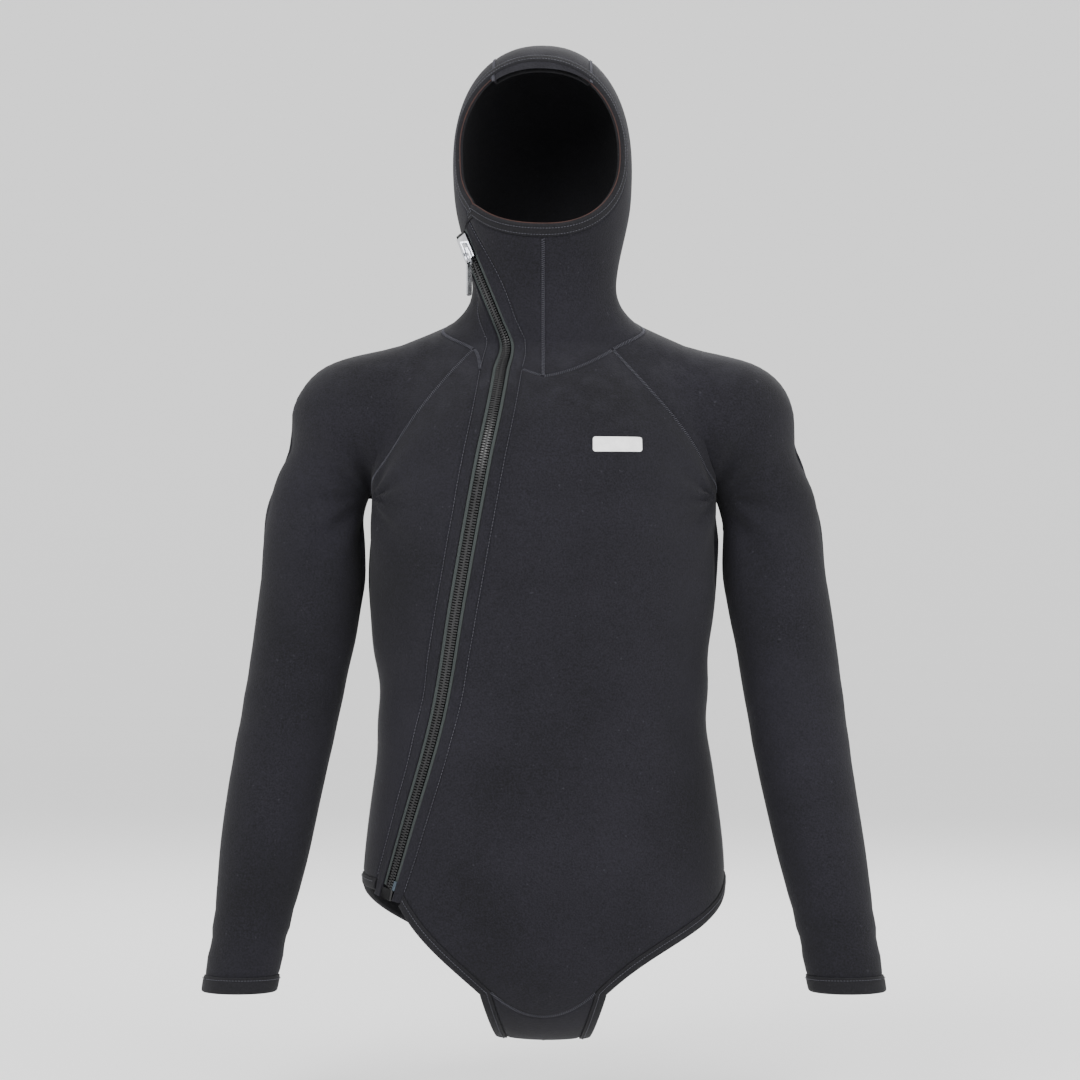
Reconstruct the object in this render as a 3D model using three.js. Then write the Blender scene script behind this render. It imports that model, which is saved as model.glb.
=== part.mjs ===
// Hooded neoprene diving jacket with a step-in crotch, a slanted front zip and raglan sleeves.
// Millimetres, +Z up. The origin is the centre of the neck at collar height, the front faces -Y
// and the wearer's left arm is at +X. Every panel lies on one smooth body form and is as thick as
// the neoprene, and neighbouring panels share the sample points of the seam between them.
import * as THREE from "three";

// ---- Driving dimensions -------------------------------------------------------------------
const NEOPRENE = 5; // thickness of every panel
const SEAM_GAP = 0.5; // clearance between two panel edges that are sewn together
const FIT_GAP = 0.3; // clearance between small pieces that touch
const ZIP_GAP = 0.5; // clearance between the strips that make up the zip

const CHEST_WIDTH = 328;
const CHEST_DEPTH = 238;
const WAIST_WIDTH = 312;
const WAIST_DEPTH = 208;
const HIP_WIDTH = 344;
const HIP_DEPTH = 234;
const WAIST_DROP = 350; // collar to waist
const HIP_DROP = 500; // collar to the height where the leg openings start at the sides
const CROTCH_DROP = 664; // collar to the lowest point of the crotch
const TRUNK_POWER = 2.35; // how square the trunk's section is

const HEAD_HALF = { x: 86, y: 104, z: 116 };
const HEAD_CENTRE = { y: 15, z: 170 };
const HEAD_POWER = 2.2;
const NECK_HALF = { x: 68.5, y: 64 };
const NECK_Y = 10;

const SHOULDER_DROP = 78; // collar to the centre of the shoulder ball
const SHOULDER_RADIUS = 55;
const SHOULDER_OUT = 12; // shoulder ball's centre beyond the chest's side
const UPPER_ARM_RADIUS = 47;
const ELBOW_RADIUS = 47.5;
const WRIST_RADIUS = 35.5;
const CUFF_DROP = 612; // collar to the end of the cuff
const ARM_SPREAD = 72; // how far the wrist hangs further out than the upper arm
const ARM_FORWARD = 62; // how far the wrist hangs in front of the shoulder

const COLLAR_FRONT = -34; // height of the collar seam at the front, and at the back
const COLLAR_BACK = 45;
const RAGLAN_TOP = { front: -38, back: 50 }; // where the raglan seams leave the collar seam, degrees

const FACE = { half: 81.5, middle: 180, up: 91, down: 82, shift: -2 }; // seam round the face
const CROWN_HALF_ANGLE = 34; // half the width of the crown strip at the face, degrees
const CROWN_HALF_WIDTH = 46;
const NAPE_HALF_ANGLE = 22; // half the width of the crown strip at the collar, degrees

const FACE_BINDING = 12;
const HEM_BINDING = 11;
const CUFF_BINDING = 16;
const BINDING_PROUD = 0.4; // how far a folded binding stands above the panel, on both sides

const CROTCH_HALF = 50; // half width of the crotch piece at its front and back seams
const CROTCH_WAIST = 34; // half width of the crotch piece at its lowest point
const CROTCH_SEAM_DROP = 634;
const CROTCH_SEAM_RISE = 25; // how much higher that seam's ends are than its middle

const CHAIN_HALF = 4.6; // half width of the closed tooth chain
const CHAIN_SLOT = 0.6; // half width of the slot between the two rows of teeth
const CHAIN_UP = 1.2; // tooth height above and below the jacket's surface
const CHAIN_DOWN = 2.8;
const TAPE_EDGE = 8; // from the middle of the chain to the edge of the tape that shows
const TAPE_THICK = 1;
const TAPE_DEPTH = 0.6;
const BAND_EDGE = 20; // from the middle of the chain to the outer edge of the neoprene band
const FLAP_EDGE = 8; // half the width of the flap behind the chain
const FLAP_THICK = 2;
const ZIP_END = 3.5; // how far the zip's strips stop short of the hood at the top
const ZIP_TOP = 108; // heights of the ends of the zip
const ZIP_BOTTOM = -524;
const ZIP_STRAIGHT = 18; // above this height the zip is straight and flat

const SLIDER = { length: 24, half: 7, plate: 1.3, lip: 1.7, clear: 0.4, blade: 0.3 };
const SLIDER_START = 7.2; // from the top end of the zip to the top edge of the slider
const BRIDGE = { length: 12, width: 3, rise: 5, thick: 1.6 };
const LINK = { inner: 5.4, wire: 1.6, length: 12, foot: 2.5 };
const PULL = { length: 32, width: 5.4, thick: 2, eye: 3.8, hole: 2.4 };
const STOP_LENGTH = 3;
const BOX = { length: 10.5, half: 7.6, up: 1.8, down: 3.4 };
const PIN = { size: 2.2, length: 12, out: 2.6, deep: 0.8 };
const BADGE = { width: 46, height: 14, thick: 0.6, x: 69, z: -98 };

// ---- Small helpers ------------------------------------------------------------------------
const RAD = Math.PI / 180;
const clamp01 = (t) => Math.min(1, Math.max(0, t));
const smoothstep = (from, to, t) => {
  const s = clamp01((t - from) / (to - from));
  return s * s * (3 - 2 * s);
};
const mix = (a, b, t) => a + (b - a) * t;
const vec = (x, y, z) => new THREE.Vector3(x, y, z);
const steps = (count) => Array.from({ length: count + 1 }, (_, i) => i / count);

// Smooth union of two distances: k is the width over which they run into each other.
function smoothMin(a, b, k) {
  const h = Math.max(k - Math.abs(a - b), 0) / k;
  return Math.min(a, b) - (h * h * k) / 4;
}

// A curve through [position, value] knots, by cubic segments with slopes from the neighbours.
function profile(knots) {
  const slope = (i) => {
    const a = knots[Math.max(i - 1, 0)];
    const b = knots[Math.min(i + 1, knots.length - 1)];
    return (b[1] - a[1]) / (b[0] - a[0]);
  };
  return (s) => {
    let i = 0;
    while (i < knots.length - 2 && s > knots[i + 1][0]) i += 1;
    const [s0, v0] = knots[i];
    const [s1, v1] = knots[i + 1];
    const w = s1 - s0;
    const t = clamp01((s - s0) / w);
    const blend0 = (1 + 2 * t) * (1 - t) ** 2;
    const blend1 = t * t * (3 - 2 * t);
    const bulge0 = t * (1 - t) ** 2 * w * slope(i);
    const bulge1 = t * t * (t - 1) * w * slope(i + 1);
    return blend0 * v0 + blend1 * v1 + bulge0 + bulge1;
  };
}

// ---- The body form ------------------------------------------------------------------------
const TRUNK_TOP = 0; // the trunk closes in a dome at the collar and in a bowl at the crotch
const DOME_START = 140;
const BOWL_START = CROTCH_DROP - 124;
const chestHalf = CHEST_WIDTH / 2;

const trunkHalfWidth = profile([
  [0, chestHalf],
  [150, chestHalf],
  [234, chestHalf + 1],
  [WAIST_DROP, WAIST_WIDTH / 2],
  [HIP_DROP, HIP_WIDTH / 2],
  [CROTCH_DROP, HIP_WIDTH / 2],
]);
const trunkHalfDepth = profile([
  [0, CHEST_DEPTH / 2 - 2],
  [160, CHEST_DEPTH / 2],
  [WAIST_DROP, WAIST_DEPTH / 2],
  [HIP_DROP, HIP_DEPTH / 2],
  [CROTCH_DROP, HIP_DEPTH / 2],
]);
const trunkMiddleY = profile([
  [0, -4],
  [160, -6],
  [WAIST_DROP, 4],
  [CROTCH_DROP, 4],
]);
const armRadius = profile([
  [SHOULDER_DROP, SHOULDER_RADIUS],
  [154, UPPER_ARM_RADIUS],
  [234, UPPER_ARM_RADIUS + 2.5],
  [330, ELBOW_RADIUS],
  [470, mix(ELBOW_RADIUS, WRIST_RADIUS, 0.35)],
  [555, WRIST_RADIUS + 1],
  [CUFF_DROP, WRIST_RADIUS],
]);
const armOut = profile([
  [SHOULDER_DROP, SHOULDER_OUT],
  [154, UPPER_ARM_RADIUS + 4],
  [234, UPPER_ARM_RADIUS + 11],
  [CUFF_DROP, UPPER_ARM_RADIUS + 3 + ARM_SPREAD],
]);
const armForward = profile([
  [SHOULDER_DROP, -8],
  [234, -6],
  [340, -1],
  [470, 0.42 * ARM_FORWARD],
  [CUFF_DROP, ARM_FORWARD],
]);

function headDistance(x, y, z) {
  const ux = Math.abs(x / HEAD_HALF.x) ** HEAD_POWER;
  const uy = Math.abs((y - HEAD_CENTRE.y) / HEAD_HALF.y) ** HEAD_POWER;
  const uz = Math.abs((z - HEAD_CENTRE.z) / HEAD_HALF.z) ** HEAD_POWER;
  return ((ux + uy + uz) ** (1 / HEAD_POWER) - 1) * HEAD_HALF.x;
}

function neckDistance(x, y, z) {
  const radial = Math.hypot(x, (y - NECK_Y) * (NECK_HALF.x / NECK_HALF.y));
  const above = Math.max(z - HEAD_CENTRE.z + 50, 0);
  const below = Math.max(-60 - z, 0);
  return Math.hypot(radial, above, below) - NECK_HALF.x;
}

function trunkDistance(x, y, z) {
  const domed = clamp01((z + DOME_START) / (TRUNK_TOP + DOME_START));
  const bowled = clamp01((-z - BOWL_START) / (CROTCH_DROP - BOWL_START));
  const shrink = Math.sqrt(Math.max(1 - Math.max(domed, bowled) ** 2, 1e-4));
  const a = trunkHalfWidth(-z) * shrink;
  const b = trunkHalfDepth(-z) * shrink;
  const u = Math.abs(x / a) ** TRUNK_POWER;
  const v = Math.abs((y - trunkMiddleY(-z)) / b) ** TRUNK_POWER;
  const side = ((u + v) ** (1 / TRUNK_POWER) - 1) * b;
  const past = Math.max(z - TRUNK_TOP, -CROTCH_DROP - z, 0);
  return side + past;
}

// The slope from the neck to the shoulder: a rounded cone between two balls.
function shoulderDistance(ax, y, z) {
  const from = [60, 15, -35];
  const to = [chestHalf + SHOULDER_OUT, 8, -SHOULDER_DROP];
  const along = to.map((v, i) => v - from[i]);
  const rel = [ax - from[0], y - from[1], z - from[2]];
  const dot = rel[0] * along[0] + rel[1] * along[1] + rel[2] * along[2];
  const t = clamp01(dot / (along[0] ** 2 + along[1] ** 2 + along[2] ** 2));
  const away = rel.map((v, i) => v - along[i] * t);
  return Math.hypot(...away) - mix(60, SHOULDER_RADIUS, t);
}

const armCentreX = (drop) => chestHalf + armOut(drop);
const armCentreY = (drop) => -armForward(drop);

function armDistance(ax, y, z) {
  const drop = Math.max(-z, SHOULDER_DROP);
  const above = Math.max(z + SHOULDER_DROP, 0);
  return Math.hypot(ax - armCentreX(drop), y - armCentreY(drop), above) - armRadius(drop);
}

// Below the armpit the arm and the trunk only lie side by side, above it they run together.
function bodyDistance(p) {
  const ax = Math.abs(p.x);
  const k = mix(2.5, 38, smoothstep(-140, -60, p.z));
  const head = smoothMin(headDistance(p.x, p.y, p.z), neckDistance(p.x, p.y, p.z), 26);
  const sloped = smoothMin(trunkDistance(p.x, p.y, p.z), shoulderDistance(ax, p.y, p.z), k);
  return smoothMin(smoothMin(sloped, armDistance(ax, p.y, p.z), k), head, 34);
}
const trunkOnly = (p) => trunkDistance(p.x, p.y, p.z);
const armOnly = (p) => armDistance(Math.abs(p.x), p.y, p.z);

function normalAt(p, field = bodyDistance) {
  const d = 0.5;
  const slope = (axis) => {
    const up = p.clone();
    const down = p.clone();
    up[axis] += d;
    down[axis] -= d;
    return field(up) - field(down);
  };
  return vec(slope("x"), slope("y"), slope("z")).normalize();
}

// The first place where a ray from inside the body leaves it, as a point with its normal.
function leaveBody(start, direction, field = bodyDistance) {
  const dir = direction.clone().normalize();
  const at = (r) => start.clone().addScaledVector(dir, r);
  const stride = 2.5;
  let far = stride;
  while (field(at(far)) < 0 && far < 400) far += stride;
  let near = far - stride;
  for (let i = 0; i < 24; i += 1) {
    const middle = (near + far) / 2;
    if (field(at(middle)) < 0) near = middle;
    else far = middle;
  }
  const p = at(far);
  return { p, n: normalAt(p, field) };
}

// The nearest place on the body's surface to a point that is already close to it.
function settle(p, field = bodyDistance) {
  const q = p.clone();
  for (let i = 0; i < 6; i += 1) {
    const n = normalAt(q, field);
    q.addScaledVector(n, -field(q));
  }
  return { p: q, n: normalAt(q, field) };
}

// ---- The armpit ---------------------------------------------------------------------------
// Going down, the web between arm and trunk ends where a gap first opens between them.
function findArmpit() {
  const y = 5;
  let best = null;
  for (let z = -90; z > -220 && !best; z -= 0.5) {
    for (let x = chestHalf - 25; x < chestHalf + 25; x += 0.5) {
      const gap = bodyDistance(vec(x, y, z));
      if (gap > 0 && (!best || gap > best.gap)) best = { gap, x, z };
    }
  }
  return vec(best.x, y, best.z);
}
const ARMPIT = findArmpit();

// ---- Round the trunk and hood: an angle and a height ----------------------------------------
// 0 degrees is the wearer's left, -90 the front. Above DOME_Z the height turns into an arc over
// the crown, round a point on the axis.
const AXIS_Y = 8;
const DOME_Z = HEAD_CENTRE.z;
const DOME_ARC = 105; // millimetres of height per radian over the crown

function roundPoint(angle, height, field = bodyDistance) {
  const lift = height > DOME_Z ? (height - DOME_Z) / DOME_ARC : 0;
  const start = vec(0, AXIS_Y, Math.min(height, DOME_Z));
  const flat = Math.cos(lift);
  const dir = vec(Math.cos(angle * RAD) * flat, Math.sin(angle * RAD) * flat, Math.sin(lift));
  return leaveBody(start, dir, field);
}

function roundPlace(p, middle) {
  const out = Math.hypot(p.x, p.y - AXIS_Y);
  let angle = Math.atan2(p.y - AXIS_Y, p.x) / RAD;
  while (angle < middle - 180) angle += 360;
  while (angle > middle + 180) angle -= 360;
  const height = p.z > DOME_Z ? DOME_Z + Math.atan2(p.z - DOME_Z, out) * DOME_ARC : p.z;
  return [angle, height];
}

// ---- Panels -------------------------------------------------------------------------------
// Fills the inside of a grid of [a, b] places from its four edges, then evens it out.
function fillPlaces(bottom, top, left, right) {
  const nu = bottom.length - 1;
  const nv = left.length - 1;
  const grid = left.map((_, j) => bottom.map((__, i) => {
    const u = i / nu;
    const v = j / nv;
    return [0, 1].map((k) => {
      const ruled = mix(bottom[i][k], top[i][k], v) + mix(left[j][k], right[j][k], u);
      const low = mix(bottom[0][k], bottom[nu][k], u);
      const high = mix(top[0][k], top[nu][k], u);
      return ruled - mix(low, high, v);
    });
  }));
  left.forEach((place, j) => (grid[j][0] = place));
  right.forEach((place, j) => (grid[j][nu] = place));
  bottom.forEach((place, i) => (grid[0][i] = place));
  top.forEach((place, i) => (grid[nv][i] = place));
  for (let round = 0; round < 8; round += 1) {
    for (let j = 1; j < nv; j += 1) {
      for (let i = 1; i < nu; i += 1) {
        for (const k of [0, 1]) {
          const beside = grid[j][i - 1][k] + grid[j][i + 1][k];
          const across = grid[j - 1][i][k] + grid[j + 1][i][k];
          grid[j][i][k] = (beside + across) / 4;
        }
      }
    }
  }
  return grid;
}

// A panel of the trunk or hood from its four seams, each a list of points with normals.
function roundPanel(bottom, top, left, right, middle, fieldAt = () => bodyDistance) {
  const placed = [bottom, top, left, right].map((edge) => edge.map((v) => roundPlace(v.p, middle)));
  const places = fillPlaces(...placed);
  const nu = bottom.length - 1;
  const nv = left.length - 1;
  return places.map((row, j) => row.map(([angle, height], i) => {
    if (j === 0) return bottom[i];
    if (j === nv) return top[i];
    if (i === 0) return left[j];
    if (i === nu) return right[j];
    return roundPoint(angle, height, fieldAt(height));
  }));
}

// Draws an edge of a grid back by half the seam gap, along the surface and square to the edge.
function drawBack(grid, edges) {
  const nv = grid.length - 1;
  const nu = grid[0].length - 1;
  const shift = grid.map((row) => row.map(() => vec(0, 0, 0)));
  const centre = vec(0, 0, 0);
  grid.flat().forEach((v) => centre.addScaledVector(v.p, 1 / (grid.length * grid[0].length)));
  const pull = (j, i, along, inward) => {
    const { p, n } = grid[j][i];
    const square = n.clone().cross(along);
    if (square.length() < 0.3) square.set(0, 1, 0);
    square.normalize();
    const clear = Math.abs(square.dot(inward)) > 0.3; // it isn't in the fold of the armpit
    const way = clear ? inward : centre.clone().sub(p);
    shift[j][i].addScaledVector(square, (Math.sign(square.dot(way)) * SEAM_GAP) / 2);
  };
  const chord = (a, b) => b.p.clone().sub(a.p).normalize();
  for (let i = 0; i <= nu; i += 1) {
    const i0 = Math.max(i - 1, 0);
    const i1 = Math.min(i + 1, nu);
    if (edges.bottom) pull(0, i, chord(grid[0][i0], grid[0][i1]), chord(grid[0][i], grid[1][i]));
    if (edges.top) pull(nv, i, chord(grid[nv][i0], grid[nv][i1]), chord(grid[nv][i], grid[nv - 1][i]));
  }
  for (let j = 0; j <= nv; j += 1) {
    const j0 = Math.max(j - 1, 0);
    const j1 = Math.min(j + 1, nv);
    if (edges.left) pull(j, 0, chord(grid[j0][0], grid[j1][0]), chord(grid[j][0], grid[j][1]));
    if (edges.right) pull(j, nu, chord(grid[j0][nu], grid[j1][nu]), chord(grid[j][nu], grid[j][nu - 1]));
  }
  return grid.map((row, j) => row.map((v, i) => ({ p: v.p.clone().add(shift[j][i]), n: v.n })));
}

// A closed solid between a grid of surface points and the same grid moved along its normals.
function shell(grid, up, down, ring = false) {
  const nv = grid.length;
  const nu = grid[0].length;
  const positions = [];
  const index = [];
  for (const offset of [up, -down]) {
    for (const row of grid) {
      for (const v of row) positions.push(...v.p.clone().addScaledVector(v.n, offset).toArray());
    }
  }
  const at = (layer, j, i) => layer * nv * nu + j * nu + (i % nu);
  const quad = (a, b, c, d) => index.push(a, b, c, a, c, d);
  // A twisted edge wall splits the same way on both sides of a seam: from its higher outer corner.
  const rank = (k) => (k < nv * nu ? positions[3 * k + 2] + 0.37 * positions[3 * k + 1] : -Infinity);
  const wall = (a, b, c, d) => {
    if (Math.max(rank(a), rank(c)) > Math.max(rank(b), rank(d))) quad(a, b, c, d);
    else quad(b, c, d, a);
  };
  const columns = ring ? nu : nu - 1;
  for (let j = 0; j < nv - 1; j += 1) {
    for (let i = 0; i < columns; i += 1) {
      quad(at(0, j, i), at(0, j, i + 1), at(0, j + 1, i + 1), at(0, j + 1, i));
      quad(at(1, j, i), at(1, j + 1, i), at(1, j + 1, i + 1), at(1, j, i + 1));
    }
  }
  for (let i = 0; i < columns; i += 1) {
    wall(at(1, 0, i), at(1, 0, i + 1), at(0, 0, i + 1), at(0, 0, i));
    wall(at(0, nv - 1, i), at(0, nv - 1, i + 1), at(1, nv - 1, i + 1), at(1, nv - 1, i));
  }
  for (let j = 0; j < nv - 1 && !ring; j += 1) {
    wall(at(0, j, 0), at(0, j + 1, 0), at(1, j + 1, 0), at(1, j, 0));
    wall(at(1, j, nu - 1), at(1, j + 1, nu - 1), at(0, j + 1, nu - 1), at(0, j, nu - 1));
  }
  const geometry = new THREE.BufferGeometry();
  geometry.setAttribute("position", new THREE.Float32BufferAttribute(positions, 3));
  const corner = (k) => vec(...positions.slice(3 * index[k], 3 * index[k] + 3));
  let volume = 0;
  for (let k = 0; k < index.length; k += 3) {
    volume += corner(k).cross(corner(k + 1)).dot(corner(k + 2));
  }
  if (volume < 0) index.reverse();
  geometry.setIndex(index);
  geometry.computeVertexNormals();
  return geometry;
}

const jacket = new THREE.Group();
function addPiece(name, geometry, finish) {
  const mesh = new THREE.Mesh(geometry, new THREE.MeshStandardMaterial(finish));
  mesh.name = name;
  jacket.add(mesh);
  return mesh;
}
const JERSEY = { color: 0x2a2b33, roughness: 0.85, metalness: 0 };
const BINDING = { color: 0x1b1b20, roughness: 0.8, metalness: 0 };
const TAPE = { color: 0x3a4044, roughness: 0.75, metalness: 0 };
const TEETH = { color: 0x0c0c0d, roughness: 0.3, metalness: 0 };
const CHROME = { color: 0xc9ccd0, roughness: 0.18, metalness: 1 };
const WHITE = { color: 0xf2f2f2, roughness: 0.5, metalness: 0 };
const END_EDGES = { left: true, right: true };
const ALL_EDGES = { bottom: true, top: true, left: true, right: true };

// ---- The zip's line -----------------------------------------------------------------------
// Sideways place of the chain's middle against the drop below the collar.
const zipX = profile([
  [-ZIP_TOP, -79],
  [-20, -43],
  [-5, -37.5],
  [8, -37],
  [59, -45],
  [112, -56],
  [243, -80],
  [352, -99],
  [462, -130],
  [-ZIP_BOTTOM, -148],
]);
const frontVertex = (x, z) => leaveBody(vec(x, AXIS_Y, z), vec(0, -1, 0));
const zipFoot = frontVertex(zipX(-ZIP_STRAIGHT), ZIP_STRAIGHT).p;
const zipHead = vec(-79, -17, ZIP_TOP);
const zipLine = zipFoot.clone().sub(zipHead);
const straightLength = zipLine.length();
zipLine.normalize();

function zipCentre(z) {
  const onLine = zipHead.clone().addScaledVector(zipLine, (z - ZIP_TOP) / zipLine.z);
  if (z >= ZIP_STRAIGHT) return onLine;
  const onBody = frontVertex(zipX(-z), z).p;
  return onLine.lerp(onBody, smoothstep(ZIP_STRAIGHT, ZIP_STRAIGHT - 45, z));
}

// The straight stretch has one normal, square to the line and halfway between its ends' normals.
const flatNormal = normalAt(zipHead).add(normalAt(zipFoot)).projectOnPlane(zipLine).normalize();

function zipStation(z) {
  const centre = zipCentre(z);
  const straight = z >= ZIP_STRAIGHT;
  const along = straight ? zipLine.clone() : zipCentre(z - 2).sub(zipCentre(z + 2)).normalize();
  const bodyNormal = normalAt(centre).projectOnPlane(along).normalize();
  const bend = smoothstep(ZIP_STRAIGHT, ZIP_STRAIGHT - 45, z);
  const n = flatNormal.clone().lerp(bodyNormal, bend).projectOnPlane(along).normalize();
  const side = along.clone().cross(n).negate().normalize();
  const at = (d) => ({ p: centre.clone().addScaledVector(side, d), n });
  const edge = (d) => settle(centre.clone().addScaledVector(side, d));
  return { z, centre, along, n, side, at, left: edge(BAND_EDGE), right: edge(-BAND_EDGE) };
}

const NECK_ROWS = 9;
const TRUNK_ROWS = 17;
const ZIP_COLLAR = -27; // height where the collar seam meets the zip's band
const neckStations = steps(NECK_ROWS).map((t) => zipStation(mix(ZIP_TOP, ZIP_COLLAR, t)));
const trunkEnd = ZIP_BOTTOM + HEM_BINDING;
const trunkStations = steps(TRUNK_ROWS).map((t) => zipStation(mix(ZIP_COLLAR, trunkEnd, t)));
const zipStations = [...neckStations, ...trunkStations.slice(1), zipStation(ZIP_BOTTOM)];
const collarStation = trunkStations[0];
const hemStation = trunkStations[TRUNK_ROWS];

// ---- Seams --------------------------------------------------------------------------------
const fromFront = (angle) => Math.abs(((angle + 270) % 360) - 180);
const collarHeight = (angle) =>
  COLLAR_FRONT + (COLLAR_BACK - COLLAR_FRONT) * Math.sin((fromFront(angle) / 2) * RAD) ** 1.3;

// A stretch of the collar seam. Where it starts at the zip, it eases from the band's own corner.
function collarSeam(from, to, count, first) {
  const start = first ? roundPlace(first.p, (from + to) / 2) : [from, collarHeight(from)];
  return steps(count).map((t) => {
    if (t === 0 && first) return first;
    const angle = mix(start[0], to, t);
    const ease = (start[1] - collarHeight(start[0])) * (1 - t) ** 2;
    return roundPoint(angle, collarHeight(angle) + ease);
  });
}
const { front: TOP_FRONT, back: TOP_BACK } = RAGLAN_TOP;
const chinCollar = collarSeam(-90, -90, 2, collarStation.left);
const chinEnd = roundPoint(-90, collarHeight(-90));
const chinFirst = roundPlace(collarStation.left.p, -90);
for (const i of [1, 2]) {
  const angle = mix(chinFirst[0], -90, i / 2);
  const height = mix(chinFirst[1], collarHeight(-90), i / 2);
  chinCollar[i] = i === 2 ? chinEnd : roundPoint(angle, height);
}
const neckCollar = collarSeam(-90, TOP_FRONT, 4);
neckCollar[0] = chinEnd;
const sleeveCollarLeft = collarSeam(TOP_FRONT, TOP_BACK, 4);
sleeveCollarLeft[0] = neckCollar[4];
const backCollarLeft = collarSeam(TOP_BACK, 90 - NAPE_HALF_ANGLE, 3);
backCollarLeft[0] = sleeveCollarLeft[4];
const napeCollar = collarSeam(90 - NAPE_HALF_ANGLE, 90 + NAPE_HALF_ANGLE, 3);
napeCollar[0] = backCollarLeft[3];
const mirror = (v) => ({ p: vec(-v.p.x, v.p.y, v.p.z), n: vec(-v.n.x, v.n.y, v.n.z) });
napeCollar[3] = mirror(napeCollar[0]);
const backCollarRight = backCollarLeft.map(mirror);
const sleeveCollarRight = sleeveCollarLeft.map(mirror);
const sideCollar = collarSeam(-142, -180 - TOP_FRONT, 2, collarStation.right);
sideCollar[2] = sleeveCollarRight[0];

// A sleeve's cross-sections turn about the armpit from the raglan seam to square across the arm.
const RAGLAN_TURN = 126;
const RAGLAN_BOW = 0.13; // how far the raglan seam bows towards the shoulder
const RAGLAN_CELLS = 8;
function sleeveFrame(turn, reach, drop = 0) {
  const outward = vec(Math.cos(turn * RAD), 0, Math.sin(turn * RAD));
  const onward = vec(Math.sin(turn * RAD), 0, -Math.cos(turn * RAD));
  const start = ARMPIT.clone().addScaledVector(outward, reach);
  start.z -= drop;
  return { start, outward, onward };
}
const raglanFrame = sleeveFrame(RAGLAN_TURN, 75);
function sleevePlace({ start, outward, onward }, p) {
  const rel = p.clone().sub(start);
  const out = rel.dot(outward);
  return { phi: Math.atan2(rel.y, out), lean: rel.dot(onward) / Math.hypot(out, rel.y) };
}
function sleeveVertex({ start, outward, onward }, phi, lean, field = bodyDistance) {
  const dir = outward.clone().multiplyScalar(Math.cos(phi));
  dir.y += Math.sin(phi);
  return leaveBody(start, dir.addScaledVector(onward, lean), field);
}
function raglanSeam(top) {
  const from = sleevePlace(raglanFrame, top.p);
  const to = Math.sign(from.phi) * Math.PI;
  return steps(RAGLAN_CELLS).map((t) => {
    if (t === 0) return top;
    const lean = mix(from.lean, 0, t) + RAGLAN_BOW * Math.sin(Math.PI * t);
    return sleeveVertex(raglanFrame, mix(from.phi, to, t), lean);
  });
}
const raglanFront = raglanSeam(sleeveCollarLeft[0]);
const raglanBack = raglanSeam(sleeveCollarLeft[4]);
raglanBack[RAGLAN_CELLS] = raglanFront[RAGLAN_CELLS];

// The hem's seam goes from the side down to the crotch piece, at the front and at the back.
const sideHem = -HIP_DROP - 3;
const hemHeight = (turn) => sideHem - 1.42 * turn - 20 * (turn / 60) ** 5;
const crotchSeamZ = (x) => -CROTCH_SEAM_DROP + CROTCH_SEAM_RISE * (x / CROTCH_HALF) ** 2;
const crotchVertex = (x, facing) =>
  leaveBody(vec(x, AXIS_Y, crotchSeamZ(x)), vec(0, facing, 0));
const crotchXs = steps(3).map((t) => mix(-CROTCH_HALF, CROTCH_HALF, t));
const crotchFront = crotchXs.map((x) => crotchVertex(x, -1));
const crotchBack = crotchXs.map((x) => crotchVertex(x, 1));

function hemSeam(corner, count, facing, first) {
  const end = roundPlace(corner.p, facing * 45);
  const start = first ? roundPlace(first.p, facing * 45) : [0, sideHem];
  const startOff = start[1] - hemHeight(Math.abs(start[0]));
  const endOff = end[1] - hemHeight(Math.abs(end[0]));
  return steps(count).map((t) => {
    if (t === 1) return corner;
    if (t === 0 && first) return first;
    const angle = mix(start[0], end[0], t);
    const ease = startOff * (1 - t) ** 2 + endOff * t ** 2;
    return roundPoint(angle, hemHeight(Math.abs(angle)) + ease);
  });
}
const hemFrontLeft = hemSeam(crotchFront[3], 6, -1);
const hemBackLeft = hemSeam(crotchBack[3], 11, 1);
hemBackLeft[0] = hemFrontLeft[0];
const hemBackRight = hemBackLeft.map(mirror);
const hemFrontRight = hemSeam(mirror(crotchFront[0]), 5, -1, mirror(hemStation.left)).map(mirror);
hemFrontRight[0] = hemStation.left;
hemFrontRight[5] = crotchFront[0];
const sideEnd = roundPlace(hemStation.right.p, -180);
const hemSideRight = steps(10).map((t) => {
  if (t === 0) return hemBackRight[0];
  if (t === 1) return hemStation.right;
  return roundPoint(mix(-180, sideEnd[0], t), mix(sideHem, sideEnd[1], t ** 1.5));
});

const trunkField = (height) => (height < ARMPIT.z + 1 ? trunkOnly : bodyDistance);
const sideSeamLeft = steps(TRUNK_ROWS).map((t) => {
  const height = mix(ARMPIT.z, sideHem, t);
  if (t === 0) return raglanFront[RAGLAN_CELLS];
  return t === 1 ? hemFrontLeft[0] : roundPoint(0, height, trunkOnly);
});
const sideSeamRight = sideSeamLeft.map(mirror);

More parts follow.
